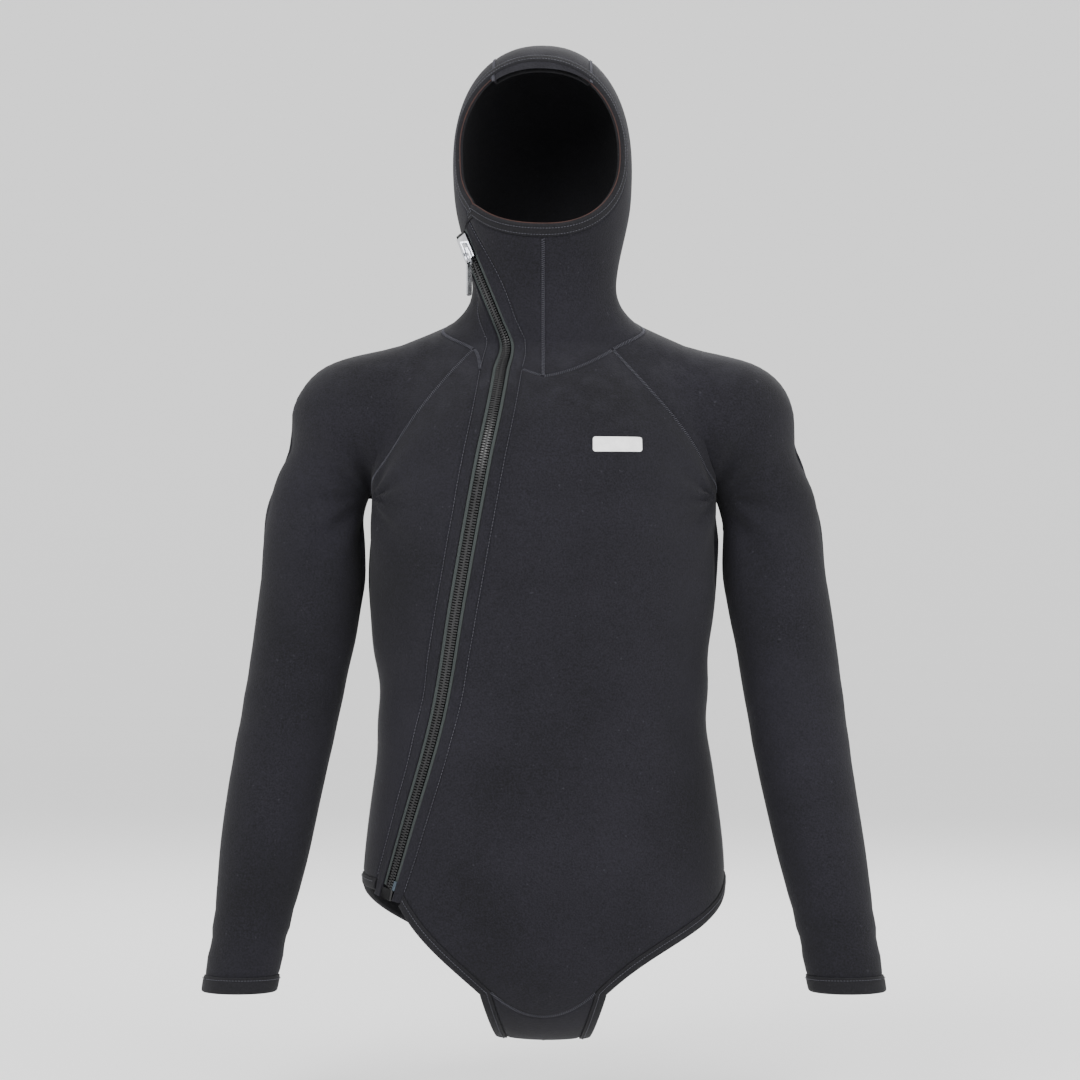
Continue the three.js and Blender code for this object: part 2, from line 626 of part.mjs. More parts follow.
// The face seam is a rounded D in the front view, on the front of the head.
function faceVertex(turn) {
  const c = Math.cos(turn * RAD);
  const s = Math.sin(turn * RAD);
  const power = s > 0 ? 2.1 : mix(2.35, 2.9, clamp01(-c));
  const x = FACE.shift + FACE.half * Math.sign(c) * Math.abs(c) ** (2 / power);
  const rise = Math.sign(s) * Math.abs(s) ** (2 / power);
  return frontVertex(x, FACE.middle + rise * (s > 0 ? FACE.up : FACE.down));
}
const faceStretch = (from, to, count) => steps(count).map((t) => faceVertex(mix(from, to, t)));
const CROWN_LEFT = 90 - CROWN_HALF_ANGLE;
const CROWN_RIGHT = 90 + CROWN_HALF_ANGLE;
let chinTurn = -130; // where the face seam passes the zip's top corner
for (let turn = -90; turn > -170; turn -= 0.25) {
  const reach = (t) => faceVertex(t).p.distanceTo(neckStations[0].left.p);
  if (reach(turn) < reach(chinTurn)) chinTurn = turn;
}
const chinFace = faceStretch(chinTurn, -90, 2);
const leftFace = faceStretch(-90, CROWN_LEFT, 11);
const crownFace = faceStretch(CROWN_LEFT, CROWN_RIGHT, 3);
const rightFace = faceStretch(CROWN_RIGHT, 360 + chinTurn, 7);
chinFace[0] = neckStations[0].left;
rightFace[7] = neckStations[0].left;

// Each crown seam runs from the collar up the back and over the crown to the face.
function crownSeam(foot, head) {
  const away = Math.sign(foot.p.x);
  return steps(NECK_ROWS).map((t) => {
    if (t === 0) return foot;
    if (t === 1) return head;
    const turn = mix(-28, 126, t); // round the head from its back, level with the nape, to the face
    const x = away * mix(Math.abs(foot.p.x), CROWN_HALF_WIDTH, smoothstep(0, 0.5, t));
    const dir = vec(0, Math.cos(turn * RAD), Math.sin(turn * RAD));
    return leaveBody(vec(x, HEAD_CENTRE.y - 5, HEAD_CENTRE.z - 20), dir);
  });
}
const crownLeft = crownSeam(napeCollar[0], leftFace[11]);
crownFace[0] = leftFace[11];
crownFace[3] = rightFace[0];
const crownRight = crownSeam(napeCollar[3], rightFace[0]);
const centreSeam = steps(NECK_ROWS).map((t) => {
  if (t === 0) return chinEnd;
  return t === 1 ? leftFace[0] : roundPoint(-90, mix(chinEnd.p.z, leftFace[0].p.z, t));
});
chinFace[2] = leftFace[0];

// ---- Trunk panels -------------------------------------------------------------------------
const backwards = (list) => [...list].reverse();
const join = (...lists) => lists.flatMap((list, i) => (i ? list.slice(1) : list));
const bandLeft = trunkStations.map((s) => s.left);
const bandRight = trunkStations.map((s) => s.right);

const frontTop = join(chinCollar, neckCollar, raglanFront);
const frontBottom = join(hemFrontRight, crotchFront, backwards(hemFrontLeft));
const frontGrid = roundPanel(
  frontTop, frontBottom, bandLeft, sideSeamLeft, -60, trunkField);
addPiece("front_body", shell(drawBack(frontGrid, ALL_EDGES), 0, NEOPRENE), JERSEY);

const sideTop = join(raglanFront.map(mirror).reverse(), backwards(sideCollar));
const sideGrid = roundPanel(sideTop, hemSideRight, sideSeamRight, bandRight, -150, trunkField);
addPiece("front_side_panel", shell(drawBack(sideGrid, ALL_EDGES), 0, NEOPRENE), JERSEY);

const backTop = join(
  backwards(raglanBack), backCollarLeft, napeCollar, backwards(backCollarRight),
  raglanBack.map(mirror));
const backBottom = join(hemBackLeft, backwards(crotchBack), backwards(hemBackRight));
const backGrid = roundPanel(backTop, backBottom, sideSeamLeft, sideSeamRight, 90, trunkField);
addPiece("back_body", shell(drawBack(backGrid, ALL_EDGES), 0, NEOPRENE), JERSEY);

// The crotch piece sweeps under from the front seam to the back one, in planes square to X.
const CROTCH_ROWS = 6;
function underVertex(x, turn) {
  return leaveBody(vec(x, 4, -BOWL_START), vec(0, -Math.cos(turn), -Math.sin(turn)));
}
const underPlace = (v) => Math.atan2(-BOWL_START - v.p.z, 4 - v.p.y);
const crotchGrid = steps(CROTCH_ROWS).map((t) => crotchXs.map((x, i) => {
  if (t === 0) return crotchFront[i];
  if (t === 1) return crotchBack[i];
  const turn = mix(underPlace(crotchFront[i]), underPlace(crotchBack[i]), t);
  const narrow = mix(1, CROTCH_WAIST / CROTCH_HALF, Math.sin(Math.PI * t));
  return underVertex(x * narrow, turn);
}));
addPiece("crotch_gusset", shell(drawBack(crotchGrid, ALL_EDGES), 0, NEOPRENE), JERSEY);

// ---- Sleeves ------------------------------------------------------------------------------
const armholeLeft = join(sleeveCollarLeft, raglanBack, backwards(raglanFront)).slice(0, -1);
const SHOULDER_ROWS = 6;
const ARM_ROWS = 8;
const cuffSeamDrop = CUFF_DROP - CUFF_BINDING;
function sleeveRow(row) {
  const places = armholeLeft.map((v) => sleevePlace(raglanFrame, v.p));
  if (row === 0) return armholeLeft;
  if (row < SHOULDER_ROWS) {
    const t = row / SHOULDER_ROWS;
    const reach = mix(75, UPPER_ARM_RADIUS, t) + 20 * Math.sin(Math.PI * t);
    const frame = sleeveFrame(mix(RAGLAN_TURN, 0, t ** 0.6), reach, 34 * t);
    return places.map(({ phi, lean }) => sleeveVertex(frame, phi, lean * (1 - t) ** 1.5));
  }
  const t = (row - SHOULDER_ROWS) / ARM_ROWS;
  const drop = mix(34 - ARMPIT.z, cuffSeamDrop, t);
  const frame = sleeveFrame(0, 0);
  frame.start = vec(armCentreX(drop), armCentreY(drop), -drop);
  const ring = places.map(({ phi }) => sleeveVertex(frame, phi, 0, armOnly));
  if (t === 1) ring.forEach((v) => v.n.setZ(0).normalize());
  return ring;
}
const sleeveRows = steps(SHOULDER_ROWS + ARM_ROWS).map((_, row) => sleeveRow(row));
const sleeveGrid = sleeveRows.map((row) => [...row, row[0]]);
const sleeveEdges = drawBack(sleeveGrid, { bottom: true, top: true }).map((row) => row.slice(0, -1));
addPiece("sleeve_left", shell(sleeveEdges, 0, NEOPRENE, true), JERSEY);
const sleeveMirrored = sleeveEdges.map((row) => row.map(mirror).reverse());
addPiece("sleeve_right", shell(sleeveMirrored, 0, NEOPRENE, true), JERSEY);

// ---- Hood ---------------------------------------------------------------------------------
const neckBandLeft = backwards(neckStations).map((s) => s.left);
const neckBandRight = backwards(neckStations).map((s) => s.right);
const chinGrid = roundPanel(chinCollar, chinFace, neckBandLeft, centreSeam, -90);
addPiece("hood_chin", shell(drawBack(chinGrid, ALL_EDGES), 0, NEOPRENE), JERSEY);


const hoodLeftBottom = join(neckCollar, sleeveCollarLeft, backCollarLeft);
const hoodLeftGrid = roundPanel(hoodLeftBottom, leftFace, centreSeam, crownLeft, 0);
addPiece("hood_side_left", shell(drawBack(hoodLeftGrid, ALL_EDGES), 0, NEOPRENE), JERSEY);

const zipTopCut = [neckStations[0].right, settle(neckStations[0].centre), neckStations[0].left];
const hoodRightBottom = join(sideCollar, sleeveCollarRight, backCollarRight);
const hoodRightTop = join(zipTopCut, backwards(rightFace));
const hoodRightGrid = roundPanel(hoodRightBottom, hoodRightTop, neckBandRight, crownRight, -180);
addPiece("hood_side_right", shell(drawBack(hoodRightGrid, ALL_EDGES), 0, NEOPRENE), JERSEY);

const crownGrid = crownLeft.map((leftEdge, j) => steps(3).map((t, i) => {
  if (j === 0) return napeCollar[i];
  if (j === NECK_ROWS) return crownFace[i];
  if (t === 0) return leftEdge;
  if (t === 1) return crownRight[j];
  const guess = leftEdge.p.clone().lerp(crownRight[j].p, t);
  const start = vec(guess.x, HEAD_CENTRE.y - 5, HEAD_CENTRE.z - 20);
  return leaveBody(start, guess.sub(start).setX(0));
}));
addPiece("hood_crown", shell(drawBack(crownGrid, ALL_EDGES), 0, NEOPRENE), JERSEY);

// ---- Bindings -----------------------------------------------------------------------------
// A folded strip along a seam: it starts half a seam gap past it and covers the raw edge.
function bindingGrid(seam, width, towards, closed, ends) {
  const count = seam.length;
  const around = (i) => (closed ? seam[(i + count) % count] : seam[Math.min(Math.max(i, 0), count - 1)]);
  return [SEAM_GAP / 2, width / 2, width].map((d) => seam.map((v, i) => {
    const along = around(i + 1).p.clone().sub(around(i - 1).p).normalize();
    const off = v.n.clone().cross(along).normalize();
    if (off.dot(towards(v.p)) < 0) off.negate();
    if (ends && (i === 0 || i === count - 1)) off.copy(ends);
    return { p: v.p.clone().addScaledVector(off, d), n: v.n };
  }));
}
function addBinding(name, seam, width, towards, ends = null) {
  const closed = !ends;
  const grid = bindingGrid(seam, width, towards, closed, ends);
  const trimmed = closed ? grid : drawBack(drawBack(grid, END_EDGES), END_EDGES);
  addPiece(name, shell(trimmed, BINDING_PROUD, NEOPRENE + BINDING_PROUD, closed), BINDING);
}
const faceSeam = join(chinFace, leftFace, crownFace, rightFace).slice(0, -1);
const faceMiddle = vec(0, -90, FACE.middle);
addBinding("face_binding", faceSeam, FACE_BINDING, (p) => faceMiddle.clone().sub(p));

const underEdge = (i) => crotchGrid.map((row) => row[i]);
const legSeamLeft = join(hemFrontLeft, underEdge(3), backwards(hemBackLeft)).slice(0, -1);
const legSeamRight = join(hemFrontRight, underEdge(0), backwards(hemBackRight), hemSideRight);
const legMiddle = vec(HIP_WIDTH / 2, 0, -CROTCH_DROP);
const legLeft = (p) => legMiddle.clone().sub(p);
const legRight = (p) => mirror({ p: legMiddle, n: legMiddle }).p.sub(p);
addBinding("leg_binding_left", legSeamLeft, HEM_BINDING, legLeft);
addBinding("leg_binding_right", legSeamRight, HEM_BINDING, legRight, hemStation.along);

const cuffGrid = [0, 1].map((t) => {
  const drop = mix(cuffSeamDrop + SEAM_GAP / 2, CUFF_DROP, t);
  const ring = sleeveGrid[SHOULDER_ROWS + ARM_ROWS].slice(0, -1);
  return ring.map(({ p, n }) => ({
    p: vec(p.x + armCentreX(drop) - armCentreX(cuffSeamDrop),
      p.y + armCentreY(drop) - armCentreY(cuffSeamDrop), -drop),
    n: n.clone().setZ(0).normalize(),
  }));
});
addPiece("cuff_left", shell(cuffGrid, BINDING_PROUD, NEOPRENE + BINDING_PROUD, true), BINDING);
const cuffMirrored = cuffGrid.map((row) => row.map(mirror).reverse());
addPiece("cuff_right", shell(cuffMirrored, BINDING_PROUD, NEOPRENE + BINDING_PROUD, true), BINDING);

// ---- Zip ----------------------------------------------------------------------------------
// A strip along the zip between two sideways places, each with its own point and normal.
function zipStrip(stations, from, to, up, down) {
  return shell(stations.map((s) => [from(s), to(s)]), up, down);
}
const inwards = (v, other, gap) => {
  const way = other.p.clone().sub(v.p).projectOnPlane(v.n).normalize();
  return { p: v.p.clone().addScaledVector(way, gap), n: v.n };
};
const endTrim = (stations, top, bottom) => {
  const list = [...stations];
  if (top) list[0] = zipStation(ZIP_TOP + zipLine.z * top);
  const last = list[list.length - 1];
  if (bottom) list[list.length - 1] = zipStation(last.z + bottom);
  return list;
};
const bandStations = [...zipStations];
const bandInner = TAPE_EDGE + ZIP_GAP;
for (const [side, sign, outer] of [["left", 1, "left"], ["right", -1, "right"]]) {
  const start = bandStations[0];
  const trimmed = bandStations.map((s) => ({
    inner: s.at(sign * bandInner),
    outer: inwards(s[outer], s.at(0), SEAM_GAP),
  }));
  for (const key of ["inner", "outer"]) {
    const v = trimmed[0][key];
    trimmed[0][key] = { p: v.p.clone().addScaledVector(start.along, ZIP_END), n: v.n };
  }
  addPiece("zip_band_" + side, shell(trimmed.map((s) => [s.inner, s.outer]), 0, NEOPRENE), JERSEY);

  const tape = zipStrip(endTrim(zipStations.slice(0, -1), ZIP_END, 2), (s) => s.at(sign * (CHAIN_HALF + ZIP_GAP)),
    (s) => s.at(sign * TAPE_EDGE), -TAPE_DEPTH, TAPE_DEPTH + TAPE_THICK);
  addPiece("zip_tape_" + side, tape, TAPE);

  const chain = endTrim(zipStations.slice(0, -1), ZIP_END + STOP_LENGTH + FIT_GAP, 2);
  const teeth = zipStrip(chain, (s) => s.at(sign * CHAIN_SLOT), (s) => s.at(sign * CHAIN_HALF),
    CHAIN_UP, CHAIN_DOWN);
  addPiece("zip_teeth_" + side, teeth, TEETH);

  const stopStations = [ZIP_END, ZIP_END + STOP_LENGTH].map((d) => zipStation(ZIP_TOP + zipLine.z * d));
  const stop = zipStrip(stopStations, (s) => s.at(sign * CHAIN_SLOT),
    (s) => s.at(sign * CHAIN_HALF), CHAIN_UP, CHAIN_DOWN);
  addPiece("top_stop_" + side, stop, TEETH);
}

// The flap that keeps water and skin off the chain lies just inside it.
const flapDepth = NEOPRENE + FIT_GAP + 2 * BINDING_PROUD;
const flapRow = (s) => [
  s.at(-FLAP_EDGE), s.at(FLAP_EDGE),
];
const flapStations = endTrim(zipStations, 3 * ZIP_END, 0);
addPiece("zip_underflap", shell(flapStations.map(flapRow), -flapDepth, flapDepth + FLAP_THICK), JERSEY);

// The slider, its bridge, link and pull sit on the straight stretch. They are drawn with Z down
// the zip, X to its side and Y out of the jacket.
function prism(outline, length, holes = []) {
  const path = (points) => points.map(([x, y]) => new THREE.Vector2(x, y));
  const shape = outline instanceof THREE.Shape ? outline : new THREE.Shape(path(outline));
  shape.holes.push(...holes.map((hole) => new THREE.Path(path(hole))));
  return new THREE.ExtrudeGeometry(shape, { depth: length, bevelEnabled: false, curveSegments: 8 });
}
function onZip(geometry, station, down = 0) {
  const place = new THREE.Matrix4().makeBasis(station.side, station.n, station.along);
  place.setPosition(station.centre.clone().addScaledVector(station.along, down));
  return geometry.applyMatrix4(place);
}
const box = (x0, x1, y0, y1) => [[x0, y0], [x1, y0], [x1, y1], [x0, y1]];

const plateTop = CHAIN_UP + SLIDER.clear;
const plateFoot = -CHAIN_DOWN - SLIDER.clear;
const lipIn = CHAIN_HALF + SLIDER.clear;
const lipTop = -TAPE_DEPTH + FIT_GAP;
const lipFoot = -TAPE_DEPTH - TAPE_THICK - FIT_GAP;
const sliderHalf = [
  [SLIDER.half, plateTop + SLIDER.plate],
  [SLIDER.half, lipTop],
  [lipIn, lipTop],
  [lipIn, plateTop],
  [SLIDER.blade, plateTop],
  [SLIDER.blade, plateFoot],
  [lipIn, plateFoot],
  [lipIn, lipFoot],
  [SLIDER.half, lipFoot],
  [SLIDER.half, plateFoot - SLIDER.plate],
];
const sliderOutline = [...sliderHalf, ...backwards(sliderHalf).map(([x, y]) => [-x, y])];
const sliderPlace = zipStation(ZIP_TOP);
addPiece("slider_body", onZip(prism(sliderOutline, SLIDER.length), sliderPlace, SLIDER_START), CHROME);

// The bridge is an arch along the zip, so its outline is drawn looking across the slider.
const bridgeFoot = plateTop + SLIDER.plate + FIT_GAP;
const bridgeTop = bridgeFoot + BRIDGE.rise;
const archIn = BRIDGE.length / 2 - BRIDGE.thick;
const arch = [
  [-BRIDGE.length / 2, bridgeFoot],
  [-archIn, bridgeFoot],
  [-archIn, bridgeTop - BRIDGE.thick],
  [archIn, bridgeTop - BRIDGE.thick],
  [archIn, bridgeFoot],
  [BRIDGE.length / 2, bridgeFoot],
  [BRIDGE.length / 2, bridgeTop],
  [-BRIDGE.length / 2, bridgeTop],
];
const sliderMiddle = SLIDER_START + SLIDER.length / 2;
const bridge = prism(arch, BRIDGE.width).translate(0, 0, -BRIDGE.width / 2).rotateY(-Math.PI / 2);
addPiece("slider_bridge", onZip(bridge, sliderPlace, sliderMiddle), CHROME);

// The link is a flat wire loop whose upper bar passes through the arch.
const linkHeight = bridgeFoot + (BRIDGE.rise - BRIDGE.thick) / 2;
const linkHalf = LINK.inner / 2 + LINK.wire;
const link = prism(
  box(-linkHalf, linkHalf, -LINK.wire / 2, LINK.length + LINK.wire / 2),
  LINK.wire,
  [box(-LINK.inner / 2, LINK.inner / 2, LINK.wire / 2, LINK.length - LINK.wire / 2)]);
link.translate(0, 0, -LINK.wire / 2).rotateX(Math.PI / 2).translate(0, linkHeight, LINK.foot);
addPiece("pull_link", onZip(link, sliderPlace, sliderMiddle), CHROME);

// The pull hangs straight down from the link's lower bar, edge on to the jacket.
const across = sliderPlace.side.clone().setZ(0).normalize();
const outward = across.clone().cross(vec(0, 0, 1)).normalize();
if (outward.dot(sliderPlace.n) < 0) outward.negate();
const linkEnd = sliderPlace.centre.clone()
  .addScaledVector(sliderPlace.along, sliderMiddle + LINK.foot + LINK.length)
  .addScaledVector(sliderPlace.n, linkHeight);
const eyeDrop = PULL.hole - 0.75 * LINK.wire - FIT_GAP; // the wire is square, so its corners count
const pullOutline = new THREE.Shape();
const meet = Math.asin(PULL.width / 2 / PULL.eye);
pullOutline.absarc(0, 0, PULL.eye, -Math.PI / 2 + meet, 1.5 * Math.PI - meet, false);
pullOutline.lineTo(-PULL.width / 2, -PULL.length + PULL.width / 2);
pullOutline.absarc(0, -PULL.length + PULL.width / 2, PULL.width / 2, Math.PI, 2 * Math.PI, false);
const pullHole = new THREE.Path();
pullHole.absarc(0, 0, PULL.hole, 0, 2 * Math.PI, true);
pullOutline.holes.push(pullHole);
const pull = prism(pullOutline, PULL.thick).translate(0, -eyeDrop, -PULL.thick / 2);
const pullPlace = new THREE.Matrix4().makeBasis(outward, vec(0, 0, 1), outward.clone().cross(vec(0, 0, 1)));
pullPlace.setPosition(linkEnd);
addPiece("pull_tab", pull.applyMatrix4(pullPlace), CHROME);

// The lower end: a retainer box, and the pin of the other half standing in it.
const boxPlace = zipStation(ZIP_BOTTOM + BOX.length / 2);
const holeHalf = PIN.size / 2 + FIT_GAP;
const boxHole = box(PIN.out - holeHalf, PIN.out + holeHalf, -PIN.deep - holeHalf, -PIN.deep + holeHalf);
const retainer = prism(box(-BOX.half, BOX.half, -BOX.down, BOX.up), BOX.length, [boxHole]);
addPiece("bottom_box", onZip(retainer, boxPlace, -BOX.length / 2), TEETH);
const pinHalf = PIN.size / 2;
const pinOutline = box(PIN.out - pinHalf, PIN.out + pinHalf, -PIN.deep - pinHalf, -PIN.deep + pinHalf);
addPiece("bottom_pin", onZip(prism(pinOutline, PIN.length), boxPlace, -PIN.length / 2), TEETH);

// ---- Chest badge --------------------------------------------------------------------------
const badgeGrid = steps(2).map((v) => steps(6).map((u) => frontVertex(
  BADGE.x + (u - 0.5) * BADGE.width, BADGE.z + (v - 0.5) * BADGE.height)));
addPiece("chest_badge", shell(badgeGrid, FIT_GAP + BADGE.thick, -FIT_GAP), WHITE);

export default jacket;
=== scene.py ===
"""Hooded neoprene diving jacket: the finished surfaces, seams, zip and metal parts."""
import math

import bpy
import numpy as np
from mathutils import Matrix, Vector


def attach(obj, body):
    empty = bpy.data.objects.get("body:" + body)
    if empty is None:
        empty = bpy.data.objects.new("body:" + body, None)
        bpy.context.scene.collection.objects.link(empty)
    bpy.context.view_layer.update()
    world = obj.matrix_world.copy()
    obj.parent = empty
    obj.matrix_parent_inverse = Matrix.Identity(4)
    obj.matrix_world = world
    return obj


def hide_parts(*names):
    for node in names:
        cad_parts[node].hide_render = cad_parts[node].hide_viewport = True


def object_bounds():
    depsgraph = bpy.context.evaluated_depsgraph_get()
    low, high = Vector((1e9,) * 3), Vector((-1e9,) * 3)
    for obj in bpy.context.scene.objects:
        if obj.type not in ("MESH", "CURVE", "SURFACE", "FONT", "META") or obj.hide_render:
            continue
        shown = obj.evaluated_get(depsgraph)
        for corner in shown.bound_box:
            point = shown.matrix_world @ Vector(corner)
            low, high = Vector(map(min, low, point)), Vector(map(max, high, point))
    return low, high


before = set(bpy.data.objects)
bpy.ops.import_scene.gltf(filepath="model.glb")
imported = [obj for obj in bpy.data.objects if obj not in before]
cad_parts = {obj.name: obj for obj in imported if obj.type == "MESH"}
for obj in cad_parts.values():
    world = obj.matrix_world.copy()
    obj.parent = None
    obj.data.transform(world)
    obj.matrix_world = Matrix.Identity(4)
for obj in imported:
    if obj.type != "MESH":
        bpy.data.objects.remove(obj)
cad_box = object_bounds()

# ---------------------------------------------------------------------------------------------
# Studio: a pale floor, three soft lights and a long lens square to the front of the jacket.
FLOOR_Z = cad_box[0][2] - 0.06
CAMERA_Z = -0.187
CAMERA_DISTANCE = 4.2
VIEW_HEIGHT = 1.031
SENSOR_WIDTH = 36.0

camera_data = bpy.data.cameras.new("camera")
camera_data.lens = SENSOR_WIDTH * CAMERA_DISTANCE / VIEW_HEIGHT
camera = bpy.data.objects.new("camera", camera_data)
camera.location = (-0.003, -CAMERA_DISTANCE, CAMERA_Z)
camera.rotation_euler = (math.pi / 2, 0, 0)
bpy.context.collection.objects.link(camera)
bpy.context.scene.camera = camera


def soft_light(name, place, size, power):
    """A square area light aimed at the middle of the chest."""
    data = bpy.data.lights.new(name, "AREA")
    data.size = size
    data.energy = power
    light = bpy.data.objects.new(name, data)
    light.location = place
    aim = Vector((0, 0, -0.15)) - Vector(place)
    light.rotation_euler = aim.to_track_quat("-Z", "Y").to_euler()
    bpy.context.collection.objects.link(light)


soft_light("key_light", (-1.3, -2.6, 1.7), 1.6, 85)
soft_light("fill_light", (1.9, -2.3, 0.6), 1.8, 48)
soft_light("rim_light", (0.4, 2.4, 1.8), 1.6, 60)

world = bpy.data.worlds.new("studio")
world.use_nodes = True
world.node_tree.nodes["Background"].inputs["Color"].default_value = (1, 1, 1, 1)
world.node_tree.nodes["Background"].inputs["Strength"].default_value = 1.25
bpy.context.scene.world = world


def sweep_floor():
    """A floor that curves up into a wall: straight, a quarter circle, then straight again."""
    reach, radius, height, wall = 9.0, 1.5, 6.0, 6.5
    turn = np.linspace(0, math.pi / 2, 24)
    y = np.concatenate([[-reach], wall + radius * np.sin(turn), [wall + radius]])
    z = np.concatenate([[0], radius * (1 - np.cos(turn)), [height]]) + FLOOR_Z
    x = np.array([-reach, reach])
    points = np.stack([np.repeat(x, len(y)), np.tile(y, 2), np.tile(z, 2)], axis=1)
    n = len(y)
    faces = [(i, i + 1, n + i + 1, n + i) for i in range(n - 1)]
    mesh = bpy.data.meshes.new("studio_floor")
    mesh.from_pydata(points.tolist(), [], faces)
    floor = bpy.data.objects.new("studio_floor", mesh)
    bpy.context.collection.objects.link(floor)
    paper = bpy.data.materials.new("studio_paper")
    paper.use_nodes = True
    shader = paper.node_tree.nodes["Principled BSDF"]
    shader.inputs["Base Color"].default_value = (0.95, 0.95, 0.95, 1)
    shader.inputs["Roughness"].default_value = 0.9
    mesh.materials.append(paper)


sweep_floor()

# ---------------------------------------------------------------------------------------------
# The body form that the neoprene is stretched over, in millimetres: trunk, neck, head, shoulder
# slopes and arms, run together by smooth unions. Every panel is a cut from this one surface.
NEOPRENE = 5.0
CHEST_WIDTH, CHEST_DEPTH = 328, 238
WAIST_WIDTH, WAIST_DEPTH = 312, 208
HIP_WIDTH, HIP_DEPTH = 344, 234
WAIST_DROP, HIP_DROP, CROTCH_DROP = 350, 500, 664
TRUNK_POWER = 2.35
HEAD_HALF, HEAD_Y, HEAD_Z, HEAD_POWER = (86, 104, 116), 15, 170, 2.2
NECK_HALF_X, NECK_HALF_Y, NECK_Y = 68.5, 64, 10
SHOULDER_DROP, SHOULDER_RADIUS, SHOULDER_OUT = 78, 55, 12
UPPER_ARM, ELBOW, WRIST = 47, 47.5, 35.5
CUFF_DROP, ARM_SPREAD, ARM_FORWARD = 612, 72, 62
CHEST_HALF = CHEST_WIDTH / 2
DOME_START = 140
BOWL_START = CROTCH_DROP - 124
TINY = 1e-4


def mix(a, b, t):
    """Straight blend from a to b."""
    return a + (b - a) * t


def smoothstep(start, end, t):
    """An S-shaped rise from 0 at start to 1 at end."""
    s = np.clip((t - start) / (end - start), 0, 1)
    return s * s * (3 - 2 * s)


def smooth_min(a, b, k):
    """The smaller of a and b, rounded over a width of k where they are about equal."""
    h = np.maximum(k - np.abs(a - b), 0) / k
    return np.minimum(a, b) - h * h * k / 4


def profile(knots):
    """A curve through (place, value) knots: cubic pieces, with slopes from the neighbours."""
    s = np.array([k[0] for k in knots], float)
    v = np.array([k[1] for k in knots], float)
    before = np.maximum(np.arange(len(s)) - 1, 0)
    after = np.minimum(np.arange(len(s)) + 1, len(s) - 1)
    slope = (v[after] - v[before]) / (s[after] - s[before])

    def value(place):
        """The curve's value at a place."""
        i = np.clip(np.searchsorted(s, place) - 1, 0, len(s) - 2)
        width = s[i + 1] - s[i]
        t = np.clip((place - s[i]) / width, 0, 1)
        straight = (1 + 2 * t) * (1 - t) ** 2 * v[i] + t * t * (3 - 2 * t) * v[i + 1]
        bulge = t * (1 - t) ** 2 * slope[i] + t * t * (t - 1) * slope[i + 1]
        return straight + bulge * width

    return value


trunk_half_width = profile([
    (0, CHEST_HALF), (150, CHEST_HALF), (234, CHEST_HALF + 1), (WAIST_DROP, WAIST_WIDTH / 2),
    (HIP_DROP, HIP_WIDTH / 2), (CROTCH_DROP, HIP_WIDTH / 2)])
trunk_half_depth = profile([
    (0, CHEST_DEPTH / 2 - 2), (160, CHEST_DEPTH / 2), (WAIST_DROP, WAIST_DEPTH / 2),
    (HIP_DROP, HIP_DEPTH / 2), (CROTCH_DROP, HIP_DEPTH / 2)])
trunk_middle_y = profile([(0, -4), (160, -6), (WAIST_DROP, 4), (CROTCH_DROP, 4)])
arm_radius = profile([
    (SHOULDER_DROP, SHOULDER_RADIUS), (154, UPPER_ARM), (234, UPPER_ARM + 2.5), (330, ELBOW),
    (470, mix(ELBOW, WRIST, 0.35)), (555, WRIST + 1), (CUFF_DROP, WRIST)])
arm_out = profile([
    (SHOULDER_DROP, SHOULDER_OUT), (154, UPPER_ARM + 4), (234, UPPER_ARM + 11),
    (CUFF_DROP, UPPER_ARM + 3 + ARM_SPREAD)])
arm_forward = profile([
    (SHOULDER_DROP, -8), (234, -6), (340, -1), (470, 0.42 * ARM_FORWARD),
    (CUFF_DROP, ARM_FORWARD)])


def head_distance(x, y, z):
    """A rounded, slightly squared ellipsoid."""
    a, b, c = HEAD_HALF
    u = np.abs(x / a) ** HEAD_POWER + np.abs((y - HEAD_Y) / b) ** HEAD_POWER
    return ((u + np.abs((z - HEAD_Z) / c) ** HEAD_POWER) ** (1 / HEAD_POWER) - 1) * a


def neck_distance(x, y, z):
    """An upright oval cylinder with round ends inside the head and the trunk."""
    out = np.hypot(x, (y - NECK_Y) * NECK_HALF_X / NECK_HALF_Y)
    end = np.hypot(np.maximum(z - HEAD_Z + 50, 0), np.maximum(-60 - z, 0))
    return np.hypot(out, end) - NECK_HALF_X


def trunk_distance(x, y, z):
    """Squared ovals whose size follows the height, closed by a dome above and a bowl below."""
    domed = np.clip((z + DOME_START) / DOME_START, 0, 1)
    bowled = np.clip((-z - BOWL_START) / (CROTCH_DROP - BOWL_START), 0, 1)
    shrink = np.sqrt(np.maximum(1 - np.maximum(domed, bowled) ** 2, TINY))
    a = trunk_half_width(-z) * shrink
    b = trunk_half_depth(-z) * shrink
    u = np.abs(x / a) ** TRUNK_POWER + np.abs((y - trunk_middle_y(-z)) / b) ** TRUNK_POWER
    past = np.maximum(np.maximum(z, -CROTCH_DROP - z), 0)
    return (u ** (1 / TRUNK_POWER) - 1) * b + past


def shoulder_distance(x, y, z):
    """A rounded cone from beside the neck to the shoulder ball."""
    start = np.array([60, 15, -35.0])
    run = np.array([CHEST_HALF + SHOULDER_OUT, 8, -SHOULDER_DROP]) - start
    dx, dy, dz = x - start[0], y - start[1], z - start[2]
    t = np.clip((dx * run[0] + dy * run[1] + dz * run[2]) / (run @ run), 0, 1)
    gap = np.sqrt((dx - run[0] * t) ** 2 + (dy - run[1] * t) ** 2 + (dz - run[2] * t) ** 2)
    return gap - mix(60, SHOULDER_RADIUS, t)


